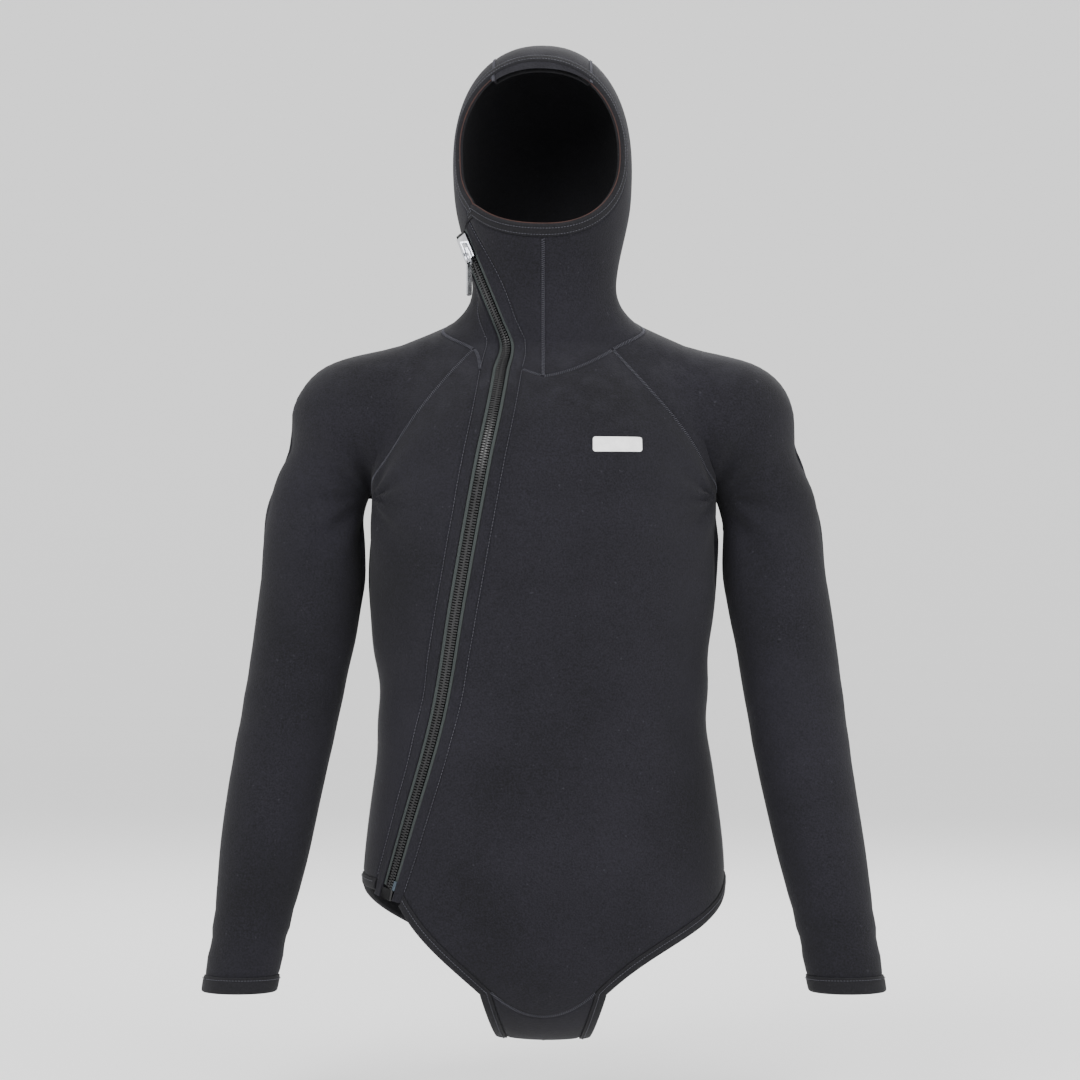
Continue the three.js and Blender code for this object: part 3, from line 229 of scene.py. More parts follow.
def arm_distance(x, y, z):
    """Round sections along a line that leans outwards and then forwards."""
    drop = np.maximum(-z, SHOULDER_DROP)
    above = np.maximum(z + SHOULDER_DROP, 0)
    out = np.hypot(x - CHEST_HALF - arm_out(drop), y + arm_forward(drop))
    return np.hypot(out, above) - arm_radius(drop)


def body_form(p):
    """The whole body: arms and trunk only touch below the armpit and run together above it."""
    x, y, z = p[..., 0], p[..., 1], p[..., 2]
    side = np.abs(x)
    k = mix(2.5, 38, smoothstep(-140, -60, z))
    head = smooth_min(head_distance(x, y, z), neck_distance(x, y, z), 26)
    sloped = smooth_min(trunk_distance(x, y, z), shoulder_distance(side, y, z), k)
    return smooth_min(smooth_min(sloped, arm_distance(side, y, z), k), head, 34)


def trunk_form(p):
    """The trunk by itself, for the sides that face the arms."""
    return trunk_distance(p[..., 0], p[..., 1], p[..., 2])


def arm_form(p):
    """An arm by itself."""
    return arm_distance(np.abs(p[..., 0]), p[..., 1], p[..., 2])


def unit(v):
    """Vectors of length one."""
    return v / np.maximum(np.linalg.norm(v, axis=-1, keepdims=True), 1e-9)


def normals_of(p, form=body_form):
    """The direction in which the distance to a form grows fastest, from small steps."""
    step = 0.5 * np.eye(3)
    return unit(np.stack([form(p + step[i]) - form(p - step[i]) for i in range(3)], axis=-1))


STRIDE, MOST_STRIDES, HALVINGS, SETTLING_ROUNDS = 2.5, 140, 16, 5


def leave(start, way, form=body_form):
    """Where rays from inside the form first come out of it: equal strides, then halving."""
    start, way = np.broadcast_arrays(np.asarray(start, float), unit(np.asarray(way, float)))
    far = np.full(start.shape[:-1], STRIDE)
    for _ in range(MOST_STRIDES):
        inside = form(start + way * far[..., None]) < 0
        if not inside.any():
            break
        far = np.where(inside, far + STRIDE, far)
    near = far - STRIDE
    for _ in range(HALVINGS):
        middle = (near + far) / 2
        inside = form(start + way * middle[..., None]) < 0
        near, far = np.where(inside, middle, near), np.where(inside, far, middle)
    return start + way * far[..., None]


def settle(p, form=body_form):
    """Moves points that are nearly on the form onto it, along its normals."""
    for _ in range(SETTLING_ROUNDS):
        p = p - normals_of(p, form) * form(p)[..., None]
    return p


def front_at(x, z):
    """The front of the body at a place seen from the front."""
    x, z = np.broadcast_arrays(np.asarray(x, float), np.asarray(z, float))
    return leave(np.stack([x, np.full(x.shape, AXIS_Y), z], axis=-1), (0, -1, 0))


# Round the trunk and hood a place is an angle and a height. 0 degrees is the wearer's left, -90
# the front. Above the middle of the head, the height is an arc over the crown.
AXIS_Y = 8.0
DOME_ARC = 105.0


def round_point(angle, height, form=body_form):
    """The body's surface at an angle and a height, along a ray from the upright axis."""
    angle, height = np.broadcast_arrays(np.radians(angle), np.asarray(height, float))
    lift = np.maximum(height - HEAD_Z, 0) / DOME_ARC
    start = np.stack([0 * height, 0 * height + AXIS_Y, np.minimum(height, HEAD_Z)], axis=-1)
    flat = np.cos(lift)
    way = np.stack([np.cos(angle) * flat, np.sin(angle) * flat, np.sin(lift)], axis=-1)
    return leave(start, way, form)


def round_place(p, middle):
    """The angle and height of points, with the angle within half a turn of the middle one."""
    p = np.asarray(p)
    out = np.hypot(p[..., 0], p[..., 1] - AXIS_Y)
    angle = np.degrees(np.arctan2(p[..., 1] - AXIS_Y, p[..., 0]))
    angle = (angle - middle + 180) % 360 - 180 + middle
    arc = HEAD_Z + np.arctan2(p[..., 2] - HEAD_Z, out) * DOME_ARC
    return np.stack([angle, np.where(p[..., 2] > HEAD_Z, arc, p[..., 2])], axis=-1)


def find_armpit():
    """Going down at the side, the first height where a gap opens between arm and trunk."""
    x = np.arange(CHEST_HALF - 25, CHEST_HALF + 25, 0.5)
    for z in np.arange(-90, -220, -0.5):
        gap = body_form(np.stack([x, 0 * x + 5, 0 * x + z], axis=-1))
        if gap.max() > 0:
            return np.array([x[gap.argmax()], 5, z])


ARMPIT = find_armpit()

# ---------------------------------------------------------------------------------------------
# The zip's line: straight and flat from beside the hood's opening down the neck, then lying on
# the chest and swinging out to the wearer's right hip. Distances sideways are from its middle.
ZIP_TOP, ZIP_BOTTOM, ZIP_STRAIGHT, ZIP_COLLAR = 108.0, -524.0, 18.0, -27.0
BAND_EDGE, TAPE_EDGE, CHAIN_HALF = 20.0, 8.0, 4.6
HEM_BINDING, CUFF_BINDING, FACE_BINDING = 11.0, 16.0, 12.0
zip_x = profile([
    (-ZIP_TOP, -79), (-20, -43), (-5, -37.5), (8, -37), (59, -45), (112, -56), (243, -80),
    (352, -99), (462, -130), (-ZIP_BOTTOM, -148)])
ZIP_HEAD = np.array([-79, -17, ZIP_TOP])
zip_foot = front_at(zip_x(-ZIP_STRAIGHT), ZIP_STRAIGHT)
zip_line = unit(zip_foot - ZIP_HEAD)


def flatten(v, along):
    """The part of v that is square to along."""
    return v - (v * along).sum(-1, keepdims=True) * along


def zip_centre(z):
    """The middle of the chain at a height: on the straight line, easing onto the body below."""
    z = np.asarray(z, float)
    on_line = ZIP_HEAD + ((z - ZIP_TOP) / zip_line[2])[..., None] * zip_line
    ease = smoothstep(ZIP_STRAIGHT, ZIP_STRAIGHT - 45, z)[..., None]
    return mix(on_line, front_at(zip_x(-z), z), ease)


flat_normal = unit(flatten(unit(normals_of(ZIP_HEAD) + normals_of(zip_foot)), zip_line))


def zip_frame(z):
    """Middle, downward direction, outward normal and sideways direction of the zip at heights."""
    z = np.asarray(z, float)
    centre = zip_centre(z)
    run = unit(zip_centre(z - 2) - zip_centre(z + 2))
    along = np.where(z[..., None] >= ZIP_STRAIGHT, zip_line, run)
    ease = smoothstep(ZIP_STRAIGHT, ZIP_STRAIGHT - 45, z)[..., None]
    on_body = unit(flatten(normals_of(centre), along))
    normal = unit(flatten(mix(flat_normal, on_body, ease), along))
    return centre, along, normal, unit(-np.cross(along, normal))


def band_edge(z, way):
    """The outer edge of the neoprene band beside the zip, on the body."""
    centre, _, _, side = zip_frame(z)
    return settle(centre + way * BAND_EDGE * side)


# ---------------------------------------------------------------------------------------------
# The seams. Each is a line of points on the body form that both of its panels are cut to.
FINE = 6
NECK_CELLS, TRUNK_CELLS, RAGLAN_CELLS = 9, 17, 8
RAGLAN_FRONT, RAGLAN_BACK, NAPE_HALF_ANGLE = -38, 50, 22
RAGLAN_TURN, RAGLAN_BOW = 126, 0.13
CROTCH_HALF, CROTCH_WAIST, CROTCH_SEAM_DROP, CROTCH_RISE = 50, 34, 634, 25
SIDE_HEM = -HIP_DROP - 3
CROWN_HALF_WIDTH, CROWN_Y, CROWN_Z = 46, HEAD_Y - 5, HEAD_Z - 20
MIRROR = np.array([-1.0, 1, 1])


def steps(cells):
    """Equal parts from 0 to 1."""
    return np.linspace(0, 1, cells * FINE + 1)


def join(*lines):
    """One line from several that share their ends."""
    return np.concatenate([lines[0]] + [line[1:] for line in lines[1:]])


def pinned(line, first=None, last=None):
    """A line with its ends set exactly."""
    line = np.array(line)
    if first is not None:
        line[0] = first
    if last is not None:
        line[-1] = last
    return line


neck_z = mix(ZIP_TOP, ZIP_COLLAR, steps(NECK_CELLS))
trunk_z = mix(ZIP_COLLAR, ZIP_BOTTOM + HEM_BINDING, steps(TRUNK_CELLS))
neck_left, neck_right = band_edge(neck_z, 1), band_edge(neck_z, -1)
trunk_left, trunk_right = band_edge(trunk_z, 1), band_edge(trunk_z, -1)


def collar_height(angle):
    """Low at the front, high at the nape."""
    from_front = np.abs((angle + 270) % 360 - 180)
    return -34 + 79 * np.sin(np.radians(from_front / 2)) ** 1.3


def collar_seam(start, end, cells, first=None):
    """A stretch of the collar seam; from the zip it eases away from the band's corner."""
    t = steps(cells)
    here = [start, collar_height(start)]
    if first is not None:
        here = round_place(first, (start + end) / 2)
    angle = mix(here[0], end, t)
    ease = (here[1] - collar_height(here[0])) * (1 - t) ** 2
    return pinned(round_point(angle, collar_height(angle) + ease), first)


chin_end = round_point(-90, collar_height(-90))
chin_start = round_place(trunk_left[0], -90)
chin_collar = pinned(round_point(
    mix(chin_start[0], -90, steps(2)), mix(chin_start[1], collar_height(-90), steps(2))),
    trunk_left[0], chin_end)
neck_collar = collar_seam(-90, RAGLAN_FRONT, 4)
sleeve_collar = collar_seam(RAGLAN_FRONT, RAGLAN_BACK, 4)
back_collar = collar_seam(RAGLAN_BACK, 90 - NAPE_HALF_ANGLE, 3)
nape_collar = collar_seam(90 - NAPE_HALF_ANGLE, 90 + NAPE_HALF_ANGLE, 3)
side_collar = pinned(collar_seam(-142, -180 - RAGLAN_FRONT, 2, trunk_right[0]),
                     last=sleeve_collar[0] * MIRROR)


def sleeve_frame(turn, reach, drop):
    """A place above the armpit with outward and onward directions, turned in the front view."""
    turn = np.radians(np.asarray(turn, float))[..., None]
    outward = np.cos(turn) * [1, 0, 0] + np.sin(turn) * [0, 0, 1]
    onward = np.sin(turn) * [1, 0, 0] - np.cos(turn) * [0, 0, 1]
    drop = np.asarray(drop, float)[..., None] * [0, 0, 1]
    return ARMPIT + outward * np.asarray(reach, float)[..., None] - drop, outward, onward


def sleeve_place(place, p):
    """Angle round the sleeve and forward lean of points seen from a sleeve place."""
    start, outward, onward = place
    gap = p - start
    out = (gap * outward).sum(-1)
    return np.arctan2(gap[..., 1], out), (gap * onward).sum(-1) / np.hypot(out, gap[..., 1])


def sleeve_point(place, phi, lean, form=body_form):
    """The body's surface in a direction from a sleeve place."""
    start, outward, onward = place
    way = outward * np.cos(phi)[..., None] + np.sin(phi)[..., None] * np.array([0, 1, 0])
    return leave(start, way + onward * np.asarray(lean)[..., None], form)


raglan_frame = sleeve_frame(RAGLAN_TURN, 75, 0)


def raglan_seam(top):
    """From the collar seam down to the armpit, bowed towards the shoulder."""
    phi, lean = sleeve_place(raglan_frame, top)
    t = steps(RAGLAN_CELLS)
    leans = mix(lean, 0, t) + RAGLAN_BOW * np.sin(math.pi * t)
    line = sleeve_point(raglan_frame, mix(phi, np.sign(phi) * math.pi, t), leans)
    into_fold = (t[-FINE:-1, None] - t[-FINE - 1]) * RAGLAN_CELLS
    line[-FINE:-1] = settle(mix(line[-FINE - 1], line[-1], into_fold))
    return pinned(line, top)


raglan_front = raglan_seam(sleeve_collar[0])
raglan_back = pinned(raglan_seam(sleeve_collar[-1]), last=raglan_front[-1])


def hem_height(turn):
    """The seam round the leg opening: it drops towards the crotch piece, steeply at the end."""
    return SIDE_HEM - 1.42 * turn - 20 * (turn / 60) ** 5


crotch_x = mix(-CROTCH_HALF, CROTCH_HALF, steps(3))
crotch_z = -CROTCH_SEAM_DROP + CROTCH_RISE * (crotch_x / CROTCH_HALF) ** 2
crotch_start = np.stack([crotch_x, 0 * crotch_x + AXIS_Y, crotch_z], axis=-1)
crotch_front = leave(crotch_start, (0, -1, 0))
crotch_back = leave(crotch_start, (0, 1, 0))


def hem_seam(corner, cells, facing, first=None):
    """A stretch of leg-opening seam, from the side or the zip to the crotch piece."""
    end = round_place(corner, facing * 45)
    start = [0, SIDE_HEM] if first is None else round_place(first, facing * 45)
    t = steps(cells)
    angle = mix(start[0], end[0], t)
    ease = (start[1] - hem_height(abs(start[0]))) * (1 - t) ** 2
    ease = ease + (end[1] - hem_height(abs(end[0]))) * t ** 2
    return pinned(round_point(angle, hem_height(np.abs(angle)) + ease), first, corner)


hem_front_left = hem_seam(crotch_front[-1], 6, -1)
hem_back_left = pinned(hem_seam(crotch_back[-1], 11, 1), hem_front_left[0])
hem_front_right = pinned(hem_seam(crotch_front[0] * MIRROR, 5, -1, trunk_left[-1] * MIRROR)
                         * MIRROR, trunk_left[-1], crotch_front[0])
side_end = round_place(trunk_right[-1], -180)
hem_side_right = pinned(round_point(
    mix(-180, side_end[0], steps(10)), mix(SIDE_HEM, side_end[1], steps(10) ** 1.5)),
    hem_back_left[0] * MIRROR, trunk_right[-1])
side_seam = pinned(round_point(0, mix(ARMPIT[2], SIDE_HEM, steps(TRUNK_CELLS)), trunk_form),
                   raglan_front[-1], hem_front_left[0])


def face_point(turn):
    """The seam round the face, a rounded D seen from the front, at an angle round its middle."""
    c, s = np.cos(np.radians(turn)), np.sin(np.radians(turn))
    power = np.where(s > 0, 2.1, mix(2.35, 2.9, np.clip(-c, 0, 1)))
    x = -2 + 81.5 * np.sign(c) * np.abs(c) ** (2 / power)
    rise = np.sign(s) * np.abs(s) ** (2 / power)
    return front_at(x, 180 + rise * np.where(s > 0, 91, 82))


turns = np.arange(-90, -170, -0.25)
chin_turn = turns[np.linalg.norm(face_point(turns) - neck_left[0], axis=-1).argmin()]
chin_face = pinned(face_point(mix(chin_turn, -90, steps(2))), neck_left[0])
left_face = face_point(mix(-90, 56, steps(11)))
crown_face = face_point(mix(56, 124, steps(3)))
right_face = pinned(face_point(mix(124, 360 + chin_turn, steps(7))), last=neck_left[0])
centre_seam = pinned(round_point(-90, mix(chin_end[2], left_face[0][2], steps(NECK_CELLS))),
                     chin_end, left_face[0])


def crown_seam(foot, head, away):
    """From the collar up the back of the head and over the crown to the face."""
    t = steps(NECK_CELLS)
    turn = np.radians(126 * np.maximum(t - 0.3, 0) / 0.7)
    x = away * mix(abs(foot[0]), CROWN_HALF_WIDTH, smoothstep(0, 0.6, t))
    start = np.stack([x, 0 * x + CROWN_Y, mix(foot[2], CROWN_Z, np.minimum(t / 0.3, 1))], axis=-1)
    way = np.stack([0 * x, np.cos(turn), np.sin(turn)], axis=-1)
    return pinned(leave(start, way), foot, head)


crown_left = crown_seam(nape_collar[0], left_face[-1], 1)
crown_right = crown_seam(nape_collar[-1], right_face[0], -1)

# ---------------------------------------------------------------------------------------------
# Shared finishes. Each node group gives only masks, tones or a normal; colours and roughness
# stay with the material. All patterns sit in object space, so they never slide.


def node_group(name, inputs, outputs):
    """An empty shader group with (name, default) float inputs and (name, kind) outputs."""
    tree = bpy.data.node_groups.new(name, "ShaderNodeTree")
    for title, value in inputs:
        socket = tree.interface.new_socket(title, in_out="INPUT", socket_type="NodeSocketFloat")
        socket.default_value = value
    for title, kind in outputs:
        tree.interface.new_socket(title, in_out="OUTPUT", socket_type="NodeSocket" + kind)
    return tree, tree.nodes.new("NodeGroupInput"), tree.nodes.new("NodeGroupOutput")


def noise(tree, scale, detail=2.0, source=None):
    """A noise texture in object space, or in another vector."""
    node = tree.nodes.new("ShaderNodeTexNoise")
    node.inputs["Scale"].default_value = scale
    node.inputs["Detail"].default_value = detail
    if source is None:
        source = tree.nodes.new("ShaderNodeTexCoord").outputs["Object"]
    tree.links.new(source, node.inputs["Vector"])
    return node.outputs["Fac"]


def math_node(tree, operation, a, b):
    """A math node whose inputs are sockets or numbers."""
    node = tree.nodes.new("ShaderNodeMath")
    node.operation = operation
    for socket, value in zip(node.inputs, (a, b)):
        if isinstance(value, (int, float)):
            socket.default_value = value
        else:
            tree.links.new(value, socket)
    return node.outputs[0]


def spread(tree, value, low, high):
    """Stretches a value so that low becomes 0 and high becomes 1."""
    node = tree.nodes.new("ShaderNodeMapRange")
    node.inputs["From Min"].default_value = low
    node.inputs["From Max"].default_value = high
    tree.links.new(value, node.inputs["Value"])
    return node.outputs["Result"]


def bump(tree, height, distance, strength=1.0):
    """A normal from a height."""
    node = tree.nodes.new("ShaderNodeBump")
    node.inputs["Distance"].default_value = distance
    node.inputs["Strength"].default_value = strength
    tree.links.new(height, node.inputs["Height"])
    return node.outputs["Normal"]


# Knit face of the neoprene: fine loops, slow unevenness of the dye, and lint.
knit, _, knit_out = node_group(
    "knit_face", [], [("Tone", "Float"), ("Lint", "Float"), ("Normal", "Vector")])
grain = noise(knit, 620, 3.0)
cloud = noise(knit, 9, 3.0)
tone = math_node(knit, "ADD", math_node(knit, "MULTIPLY", grain, 0.65),
                 math_node(knit, "MULTIPLY", cloud, 0.35))
knit.links.new(spread(knit, tone, 0.34, 0.66), knit_out.inputs["Tone"])
knit.links.new(spread(knit, noise(knit, 240, 1.0), 0.74, 0.8), knit_out.inputs["Lint"])
knit.links.new(bump(knit, grain, 0.0004), knit_out.inputs["Normal"])

# Woven tape: ribs across its length, from the cloth's own lengthwise and sideways measure.
weave, _, weave_out = node_group("tape_weave", [], [("Rib", "Float"), ("Normal", "Vector")])
cloth_uv = weave.nodes.new("ShaderNodeUVMap")
cloth_uv.uv_map = "cloth"
split = weave.nodes.new("ShaderNodeSeparateXYZ")
weave.links.new(cloth_uv.outputs["UV"], split.inputs[0])
ribs = math_node(weave, "SINE", math_node(weave, "MULTIPLY", split.outputs["Y"], 9000.0), 0.0)
rib = spread(weave, ribs, -1.0, 1.0)
weave.links.new(rib, weave_out.inputs["Rib"])
weave.links.new(bump(weave, rib, 0.0002), weave_out.inputs["Normal"])

# Fine scratches and smudges for polished and moulded pieces.
smudge, _, smudge_out = node_group(
    "handling_marks", [], [("Smudge", "Float"), ("Normal", "Vector")])
coordinates = smudge.nodes.new("ShaderNodeTexCoord").outputs["Object"]
stretch = smudge.nodes.new("ShaderNodeMapping")
stretch.inputs["Scale"].default_value = (60, 60, 6)
smudge.links.new(coordinates, stretch.inputs["Vector"])
scratch = noise(smudge, 40, 4.0, stretch.outputs["Vector"])
smudge.links.new(spread(smudge, noise(smudge, 130, 3.0), 0.35, 0.7), smudge_out.inputs["Smudge"])
smudge.links.new(bump(smudge, scratch, 0.00003), smudge_out.inputs["Normal"])

# Dust: only on faces that look up, in patches.
dust, _, dust_out = node_group("settled_dust", [], [("Mask", "Float")])
facing = dust.nodes.new("ShaderNodeSeparateXYZ")
dust.links.new(dust.nodes.new("ShaderNodeNewGeometry").outputs["Normal"], facing.inputs[0])
upward = spread(dust, facing.outputs["Z"], 0.35, 1.0)
dust.links.new(math_node(dust, "MULTIPLY", upward, spread(dust, noise(dust, 55), 0.4, 0.75)),
               dust_out.inputs["Mask"])


def use_group(tree, group):
    """A group node in a material."""
    node = tree.nodes.new("ShaderNodeGroup")
    node.node_tree = group
    return node


def two_colours(tree, mask, first, second):
    """A colour that goes from the first, a constant or a socket, to the second by a mask."""
    node = tree.nodes.new("ShaderNodeMix")
    node.data_type = "RGBA"
    tree.links.new(mask, node.inputs["Factor"])
    if isinstance(first, tuple):
        node.inputs["A"].default_value = (*first, 1)
    else:
        tree.links.new(first, node.inputs["A"])
    node.inputs["B"].default_value = (*second, 1)
    return node.outputs["Result"]


def material(name, roughness, metallic=0.0):
    """A new Principled material; returns it with its node tree and its Principled node."""
    made = bpy.data.materials.new(name)
    made.use_nodes = True
    shader = made.node_tree.nodes["Principled BSDF"]
    shader.inputs["Roughness"].default_value = roughness
    shader.inputs["Metallic"].default_value = metallic
    return made, made.node_tree, shader


def cloth_material(name, dark, light, lint, roughness=0.88, sheen=0.03):
    """Knitted or laminated neoprene in a colour that varies between dark and light."""
    made, tree, shader = material(name, roughness)
    face, dusty = use_group(tree, knit), use_group(tree, dust)
    colour = two_colours(tree, face.outputs["Tone"], dark, light)
    for mask, strength in ((face.outputs["Lint"], 0.12), (dusty.outputs["Mask"], 0.10)):
        colour = two_colours(tree, math_node(tree, "MULTIPLY", mask, strength), colour, lint)
    tree.links.new(colour, shader.inputs["Base Color"])
    tree.links.new(face.outputs["Normal"], shader.inputs["Normal"])
    shader.inputs["Sheen Weight"].default_value = sheen
    shader.inputs["Sheen Roughness"].default_value = 0.6
    shader.inputs["Specular IOR Level"].default_value = 0.2
    return made


def plain_material(name, dark, light, roughness, metallic=0.0, coat=0.0):
    """A moulded, printed or polished piece with handling marks."""
    made, tree, shader = material(name, roughness, metallic)
    marks = use_group(tree, smudge)
    colour = two_colours(tree, marks.outputs["Smudge"], dark, light)
    tree.links.new(colour, shader.inputs["Base Color"])
    tree.links.new(marks.outputs["Normal"], shader.inputs["Normal"])
    smudged = math_node(tree, "MULTIPLY", marks.outputs["Smudge"], 0.12)
    worn = math_node(tree, "ADD", smudged, roughness)
    tree.links.new(worn, shader.inputs["Roughness"])
    shader.inputs["Coat Weight"].default_value = coat
    return made


jersey = cloth_material(
    "neoprene_jersey", (0.0022, 0.0022, 0.0034), (0.0112, 0.0104, 0.0155), (0.1, 0.1, 0.12))
lining = cloth_material(
    "neoprene_lining", (0.003, 0.003, 0.004), (0.006, 0.006, 0.008), (0.05, 0.05, 0.06))
binding = cloth_material(
    "folded_binding", (0.004, 0.004, 0.0052), (0.010, 0.0095, 0.012), (0.1, 0.1, 0.11))
thread = cloth_material(
    "sewing_thread", (0.035, 0.035, 0.045), (0.075, 0.075, 0.09), (0.15, 0.15, 0.17), 0.6)
edging = plain_material("cut_edge", (0.028, 0.011, 0.009), (0.05, 0.02, 0.015), 0.85)

# ---------------------------------------------------------------------------------------------
# How a panel becomes cloth: its grid is moved by soft folds, dips where it is sewn, and is closed
# by an inner face one neoprene thickness further in.


def folds(p):
    """Height of the soft folds: ripples fanning out from each armpit, rings at the elbows and
    long shallow waves over the trunk and hood, each faded out away from its place."""
    x, y, z = p[..., 0], p[..., 1], p[..., 2]
    side = np.abs(x)
    reach = np.sqrt((side - ARMPIT[0]) ** 2 + (0.7 * y) ** 2 + (z - ARMPIT[2]) ** 2)
    spin = np.arctan2(z - ARMPIT[2], side - ARMPIT[0])
    fan = np.sin(spin * 9 + 0.02 * reach + 1.5 * np.sign(y) + 0.7 * np.sign(x))
    armpit = 3.0 * fan * smoothstep(14, 45, reach) * np.exp(-(reach / 85) ** 2)
    on_arm = smoothstep(CHEST_HALF + 8, CHEST_HALF + 30, side)
    rings = np.sin(z / 6.2 + 0.05 * y + 0.9 * np.sin(z / 23))
    elbow = 1.3 * rings * on_arm * np.exp(-((z + 335) / 48) ** 2) * smoothstep(10, -30, y)
    wrist = 0.8 * np.sin(z / 5 + y / 30) * on_arm * np.exp(-((z + 560) / 30) ** 2)
    slow = 1.3 * np.sin(x / 37 + 0.4 * np.sin(z / 41)) * np.sin(z / 53 + y / 60 + 0.6)
    waist = 1.5 * np.sin(z / 13 + x / 90) * np.exp(-((z + 330) / 60) ** 2) * (1 - on_arm)
    nape = 1.1 * np.sin(z / 8 + x / 70) * np.exp(-((z - 18) / 26) ** 2) * smoothstep(-10, 60, y)
    return armpit + elbow + wrist + slow + waist + nape


def edge_distance(p, ring):
    """Distance of each grid point from the nearest sewn edge, measured along the grid lines."""
    def from_ends(grid):
        """Length along each column from its nearer end."""
        gaps = np.linalg.norm(np.diff(grid, axis=0), axis=-1)
        run = np.concatenate([np.zeros((1, grid.shape[1])), np.cumsum(gaps, axis=0)])
        return np.minimum(run, run[-1] - run)
    near = from_ends(p)
    if not ring:
        near = np.minimum(near, from_ends(p.transpose(1, 0, 2)).T)
    return near


def lengths_uv(p):
    """Width and length along the cloth from its first corner, in metres."""
    across = np.linalg.norm(np.diff(p, axis=1, prepend=p[:, :1]), axis=-1).cumsum(axis=1)
    down = np.linalg.norm(np.diff(p, axis=0, prepend=p[:1]), axis=-1).cumsum(axis=0)
    return np.stack([across, down], axis=-1) / 1000


def make_object(name, points, faces, materials, face_material=None, uv=None, sharp=50):
    """A mesh object from points in millimetres; edges steeper than sharp degrees stay crisp."""
    mesh = bpy.data.meshes.new(name)
    faces = np.asarray(faces)
    mesh.vertices.add(len(points))
    mesh.vertices.foreach_set("co", (np.asarray(points) / 1000).ravel())
    mesh.loops.add(faces.size)
    mesh.loops.foreach_set("vertex_index", faces.ravel())
    mesh.polygons.add(len(faces))
    mesh.polygons.foreach_set("loop_start", np.arange(len(faces)) * faces.shape[1])
    mesh.update(calc_edges=True)
    if face_material is not None:
        mesh.polygons.foreach_set("material_index", np.asarray(face_material, np.int32))
    if uv is not None:
        layer = mesh.uv_layers.new(name="cloth")
        layer.uv.foreach_set("vector", uv[faces.ravel()].ravel())
    mesh.validate()
    mesh.shade_smooth()
    mesh.set_sharp_from_angle(angle=math.radians(sharp))
    for made in materials:
        mesh.materials.append(made)
    made_object = bpy.data.objects.new(name, mesh)
    bpy.context.collection.objects.link(made_object)
    return made_object


def closed_faces(rows, columns, ring=False, tube=False):
    """Quads of two facing grids and the walls between their edges: outer, inner, then walls."""
    index = np.arange(rows * columns).reshape(rows, columns)
    if ring:
        index = np.concatenate([index, index[:, :1]], axis=1)
    if tube:
        index = np.concatenate([index, index[:1]])
    a, b, c, d = index[:-1, :-1], index[:-1, 1:], index[1:, 1:], index[1:, :-1]
    outer = np.stack([a, b, c, d], axis=-1).reshape(-1, 4)
    if tube:
        return outer, np.zeros(len(outer), int)
    size = rows * columns
    parts = [outer, outer[:, ::-1] + size]
    border = [(index[0, 1:], index[0, :-1]), (index[-1, :-1], index[-1, 1:])]
    if not ring:
        border += [(index[:-1, 0], index[1:, 0]), (index[1:, -1], index[:-1, -1])]
    for start, end in border:
        parts.append(np.stack([start, end, end + size, start + size], axis=-1))
    kinds = np.concatenate([np.full(len(part), min(i, 2)) for i, part in enumerate(parts)])
    return np.concatenate(parts), kinds


def facing_out(points, faces):
    """The faces, turned over if they enclose a negative volume."""
    corner = np.asarray(points)[np.asarray(faces)]
    first = np.einsum("ij,ij->i", corner[:, 0], np.cross(corner[:, 1], corner[:, 2])).sum()
    if faces.shape[1] == 4:
        first += np.einsum("ij,ij->i", corner[:, 0], np.cross(corner[:, 2], corner[:, 3])).sum()
    return faces if first > 0 else faces[:, ::-1]


def cloth(name, grid, normals, thick=NEOPRENE, proud=0.0, dip=0.9, ring=False,
          faces_of=(0, 1, 0), materials=None, sheet=True):
    """A piece of neoprene over a grid of points, sewn in at its edges, riding on the jacket."""
    move = folds(grid)
    valley = dip * np.exp(-(edge_distance(grid, ring) / 1.8) ** 2)
    outer = grid + normals * (move - valley + proud)[..., None]
    inner = grid + normals * (move - thick - proud)[..., None]
    rows, columns = grid.shape[:2]
    points = np.concatenate([outer.reshape(-1, 3), inner.reshape(-1, 3)])
    faces, kinds = closed_faces(rows, columns, ring)
    faces = facing_out(points, faces)
    uv = np.concatenate([lengths_uv(grid).reshape(-1, 2)] * 2)
    piece = make_object(name + "_cloth", points, faces, materials or [jersey, lining],
                        np.take(faces_of, kinds), uv)
    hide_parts(name)
    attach(piece, "jacket")
    return piece


# ---------------------------------------------------------------------------------------------
# Panels of the trunk and hood are drawn in the angle and height chart: edges first, the inside
# evened out between them, then every place is put on the body along its ray.


def fill_places(bottom, top, left, right):
    """Blends the four edges of a chart patch inwards, then relaxes it to even spacing."""
    u = np.linspace(0, 1, len(bottom))[None, :, None]
    v = np.linspace(0, 1, len(left))[:, None, None]
    low, high = mix(bottom[0], bottom[-1], u), mix(top[0], top[-1], u)
    grid = mix(bottom[None], top[None], v) + mix(left[:, None], right[:, None], u)
    grid = grid - mix(low, high, v)
    grid[0], grid[-1], grid[:, 0], grid[:, -1] = bottom, top, left, right
    for _ in range(16 * FINE * FINE):
        beside = grid[1:-1, :-2] + grid[1:-1, 2:]
        grid[1:-1, 1:-1] = (beside + grid[:-2, 1:-1] + grid[2:, 1:-1]) / 4
    return grid


def enrich(grid, axes=(0, 1)):
    """Adds two lines of places just inside each edge, where the cloth dips into its seam."""
    for axis in axes:
        n = grid.shape[axis] - 1
        place = np.concatenate([[0, 0.18, 0.5], np.arange(1, n), [n - 0.5, n - 0.18, n]])
        low = np.minimum(place.astype(int), n - 1)
        part = (place - low).reshape([-1 if i == axis else 1 for i in range(grid.ndim)])
        grid = mix(np.take(grid, low, axis), np.take(grid, low + 1, axis), part)
    return grid


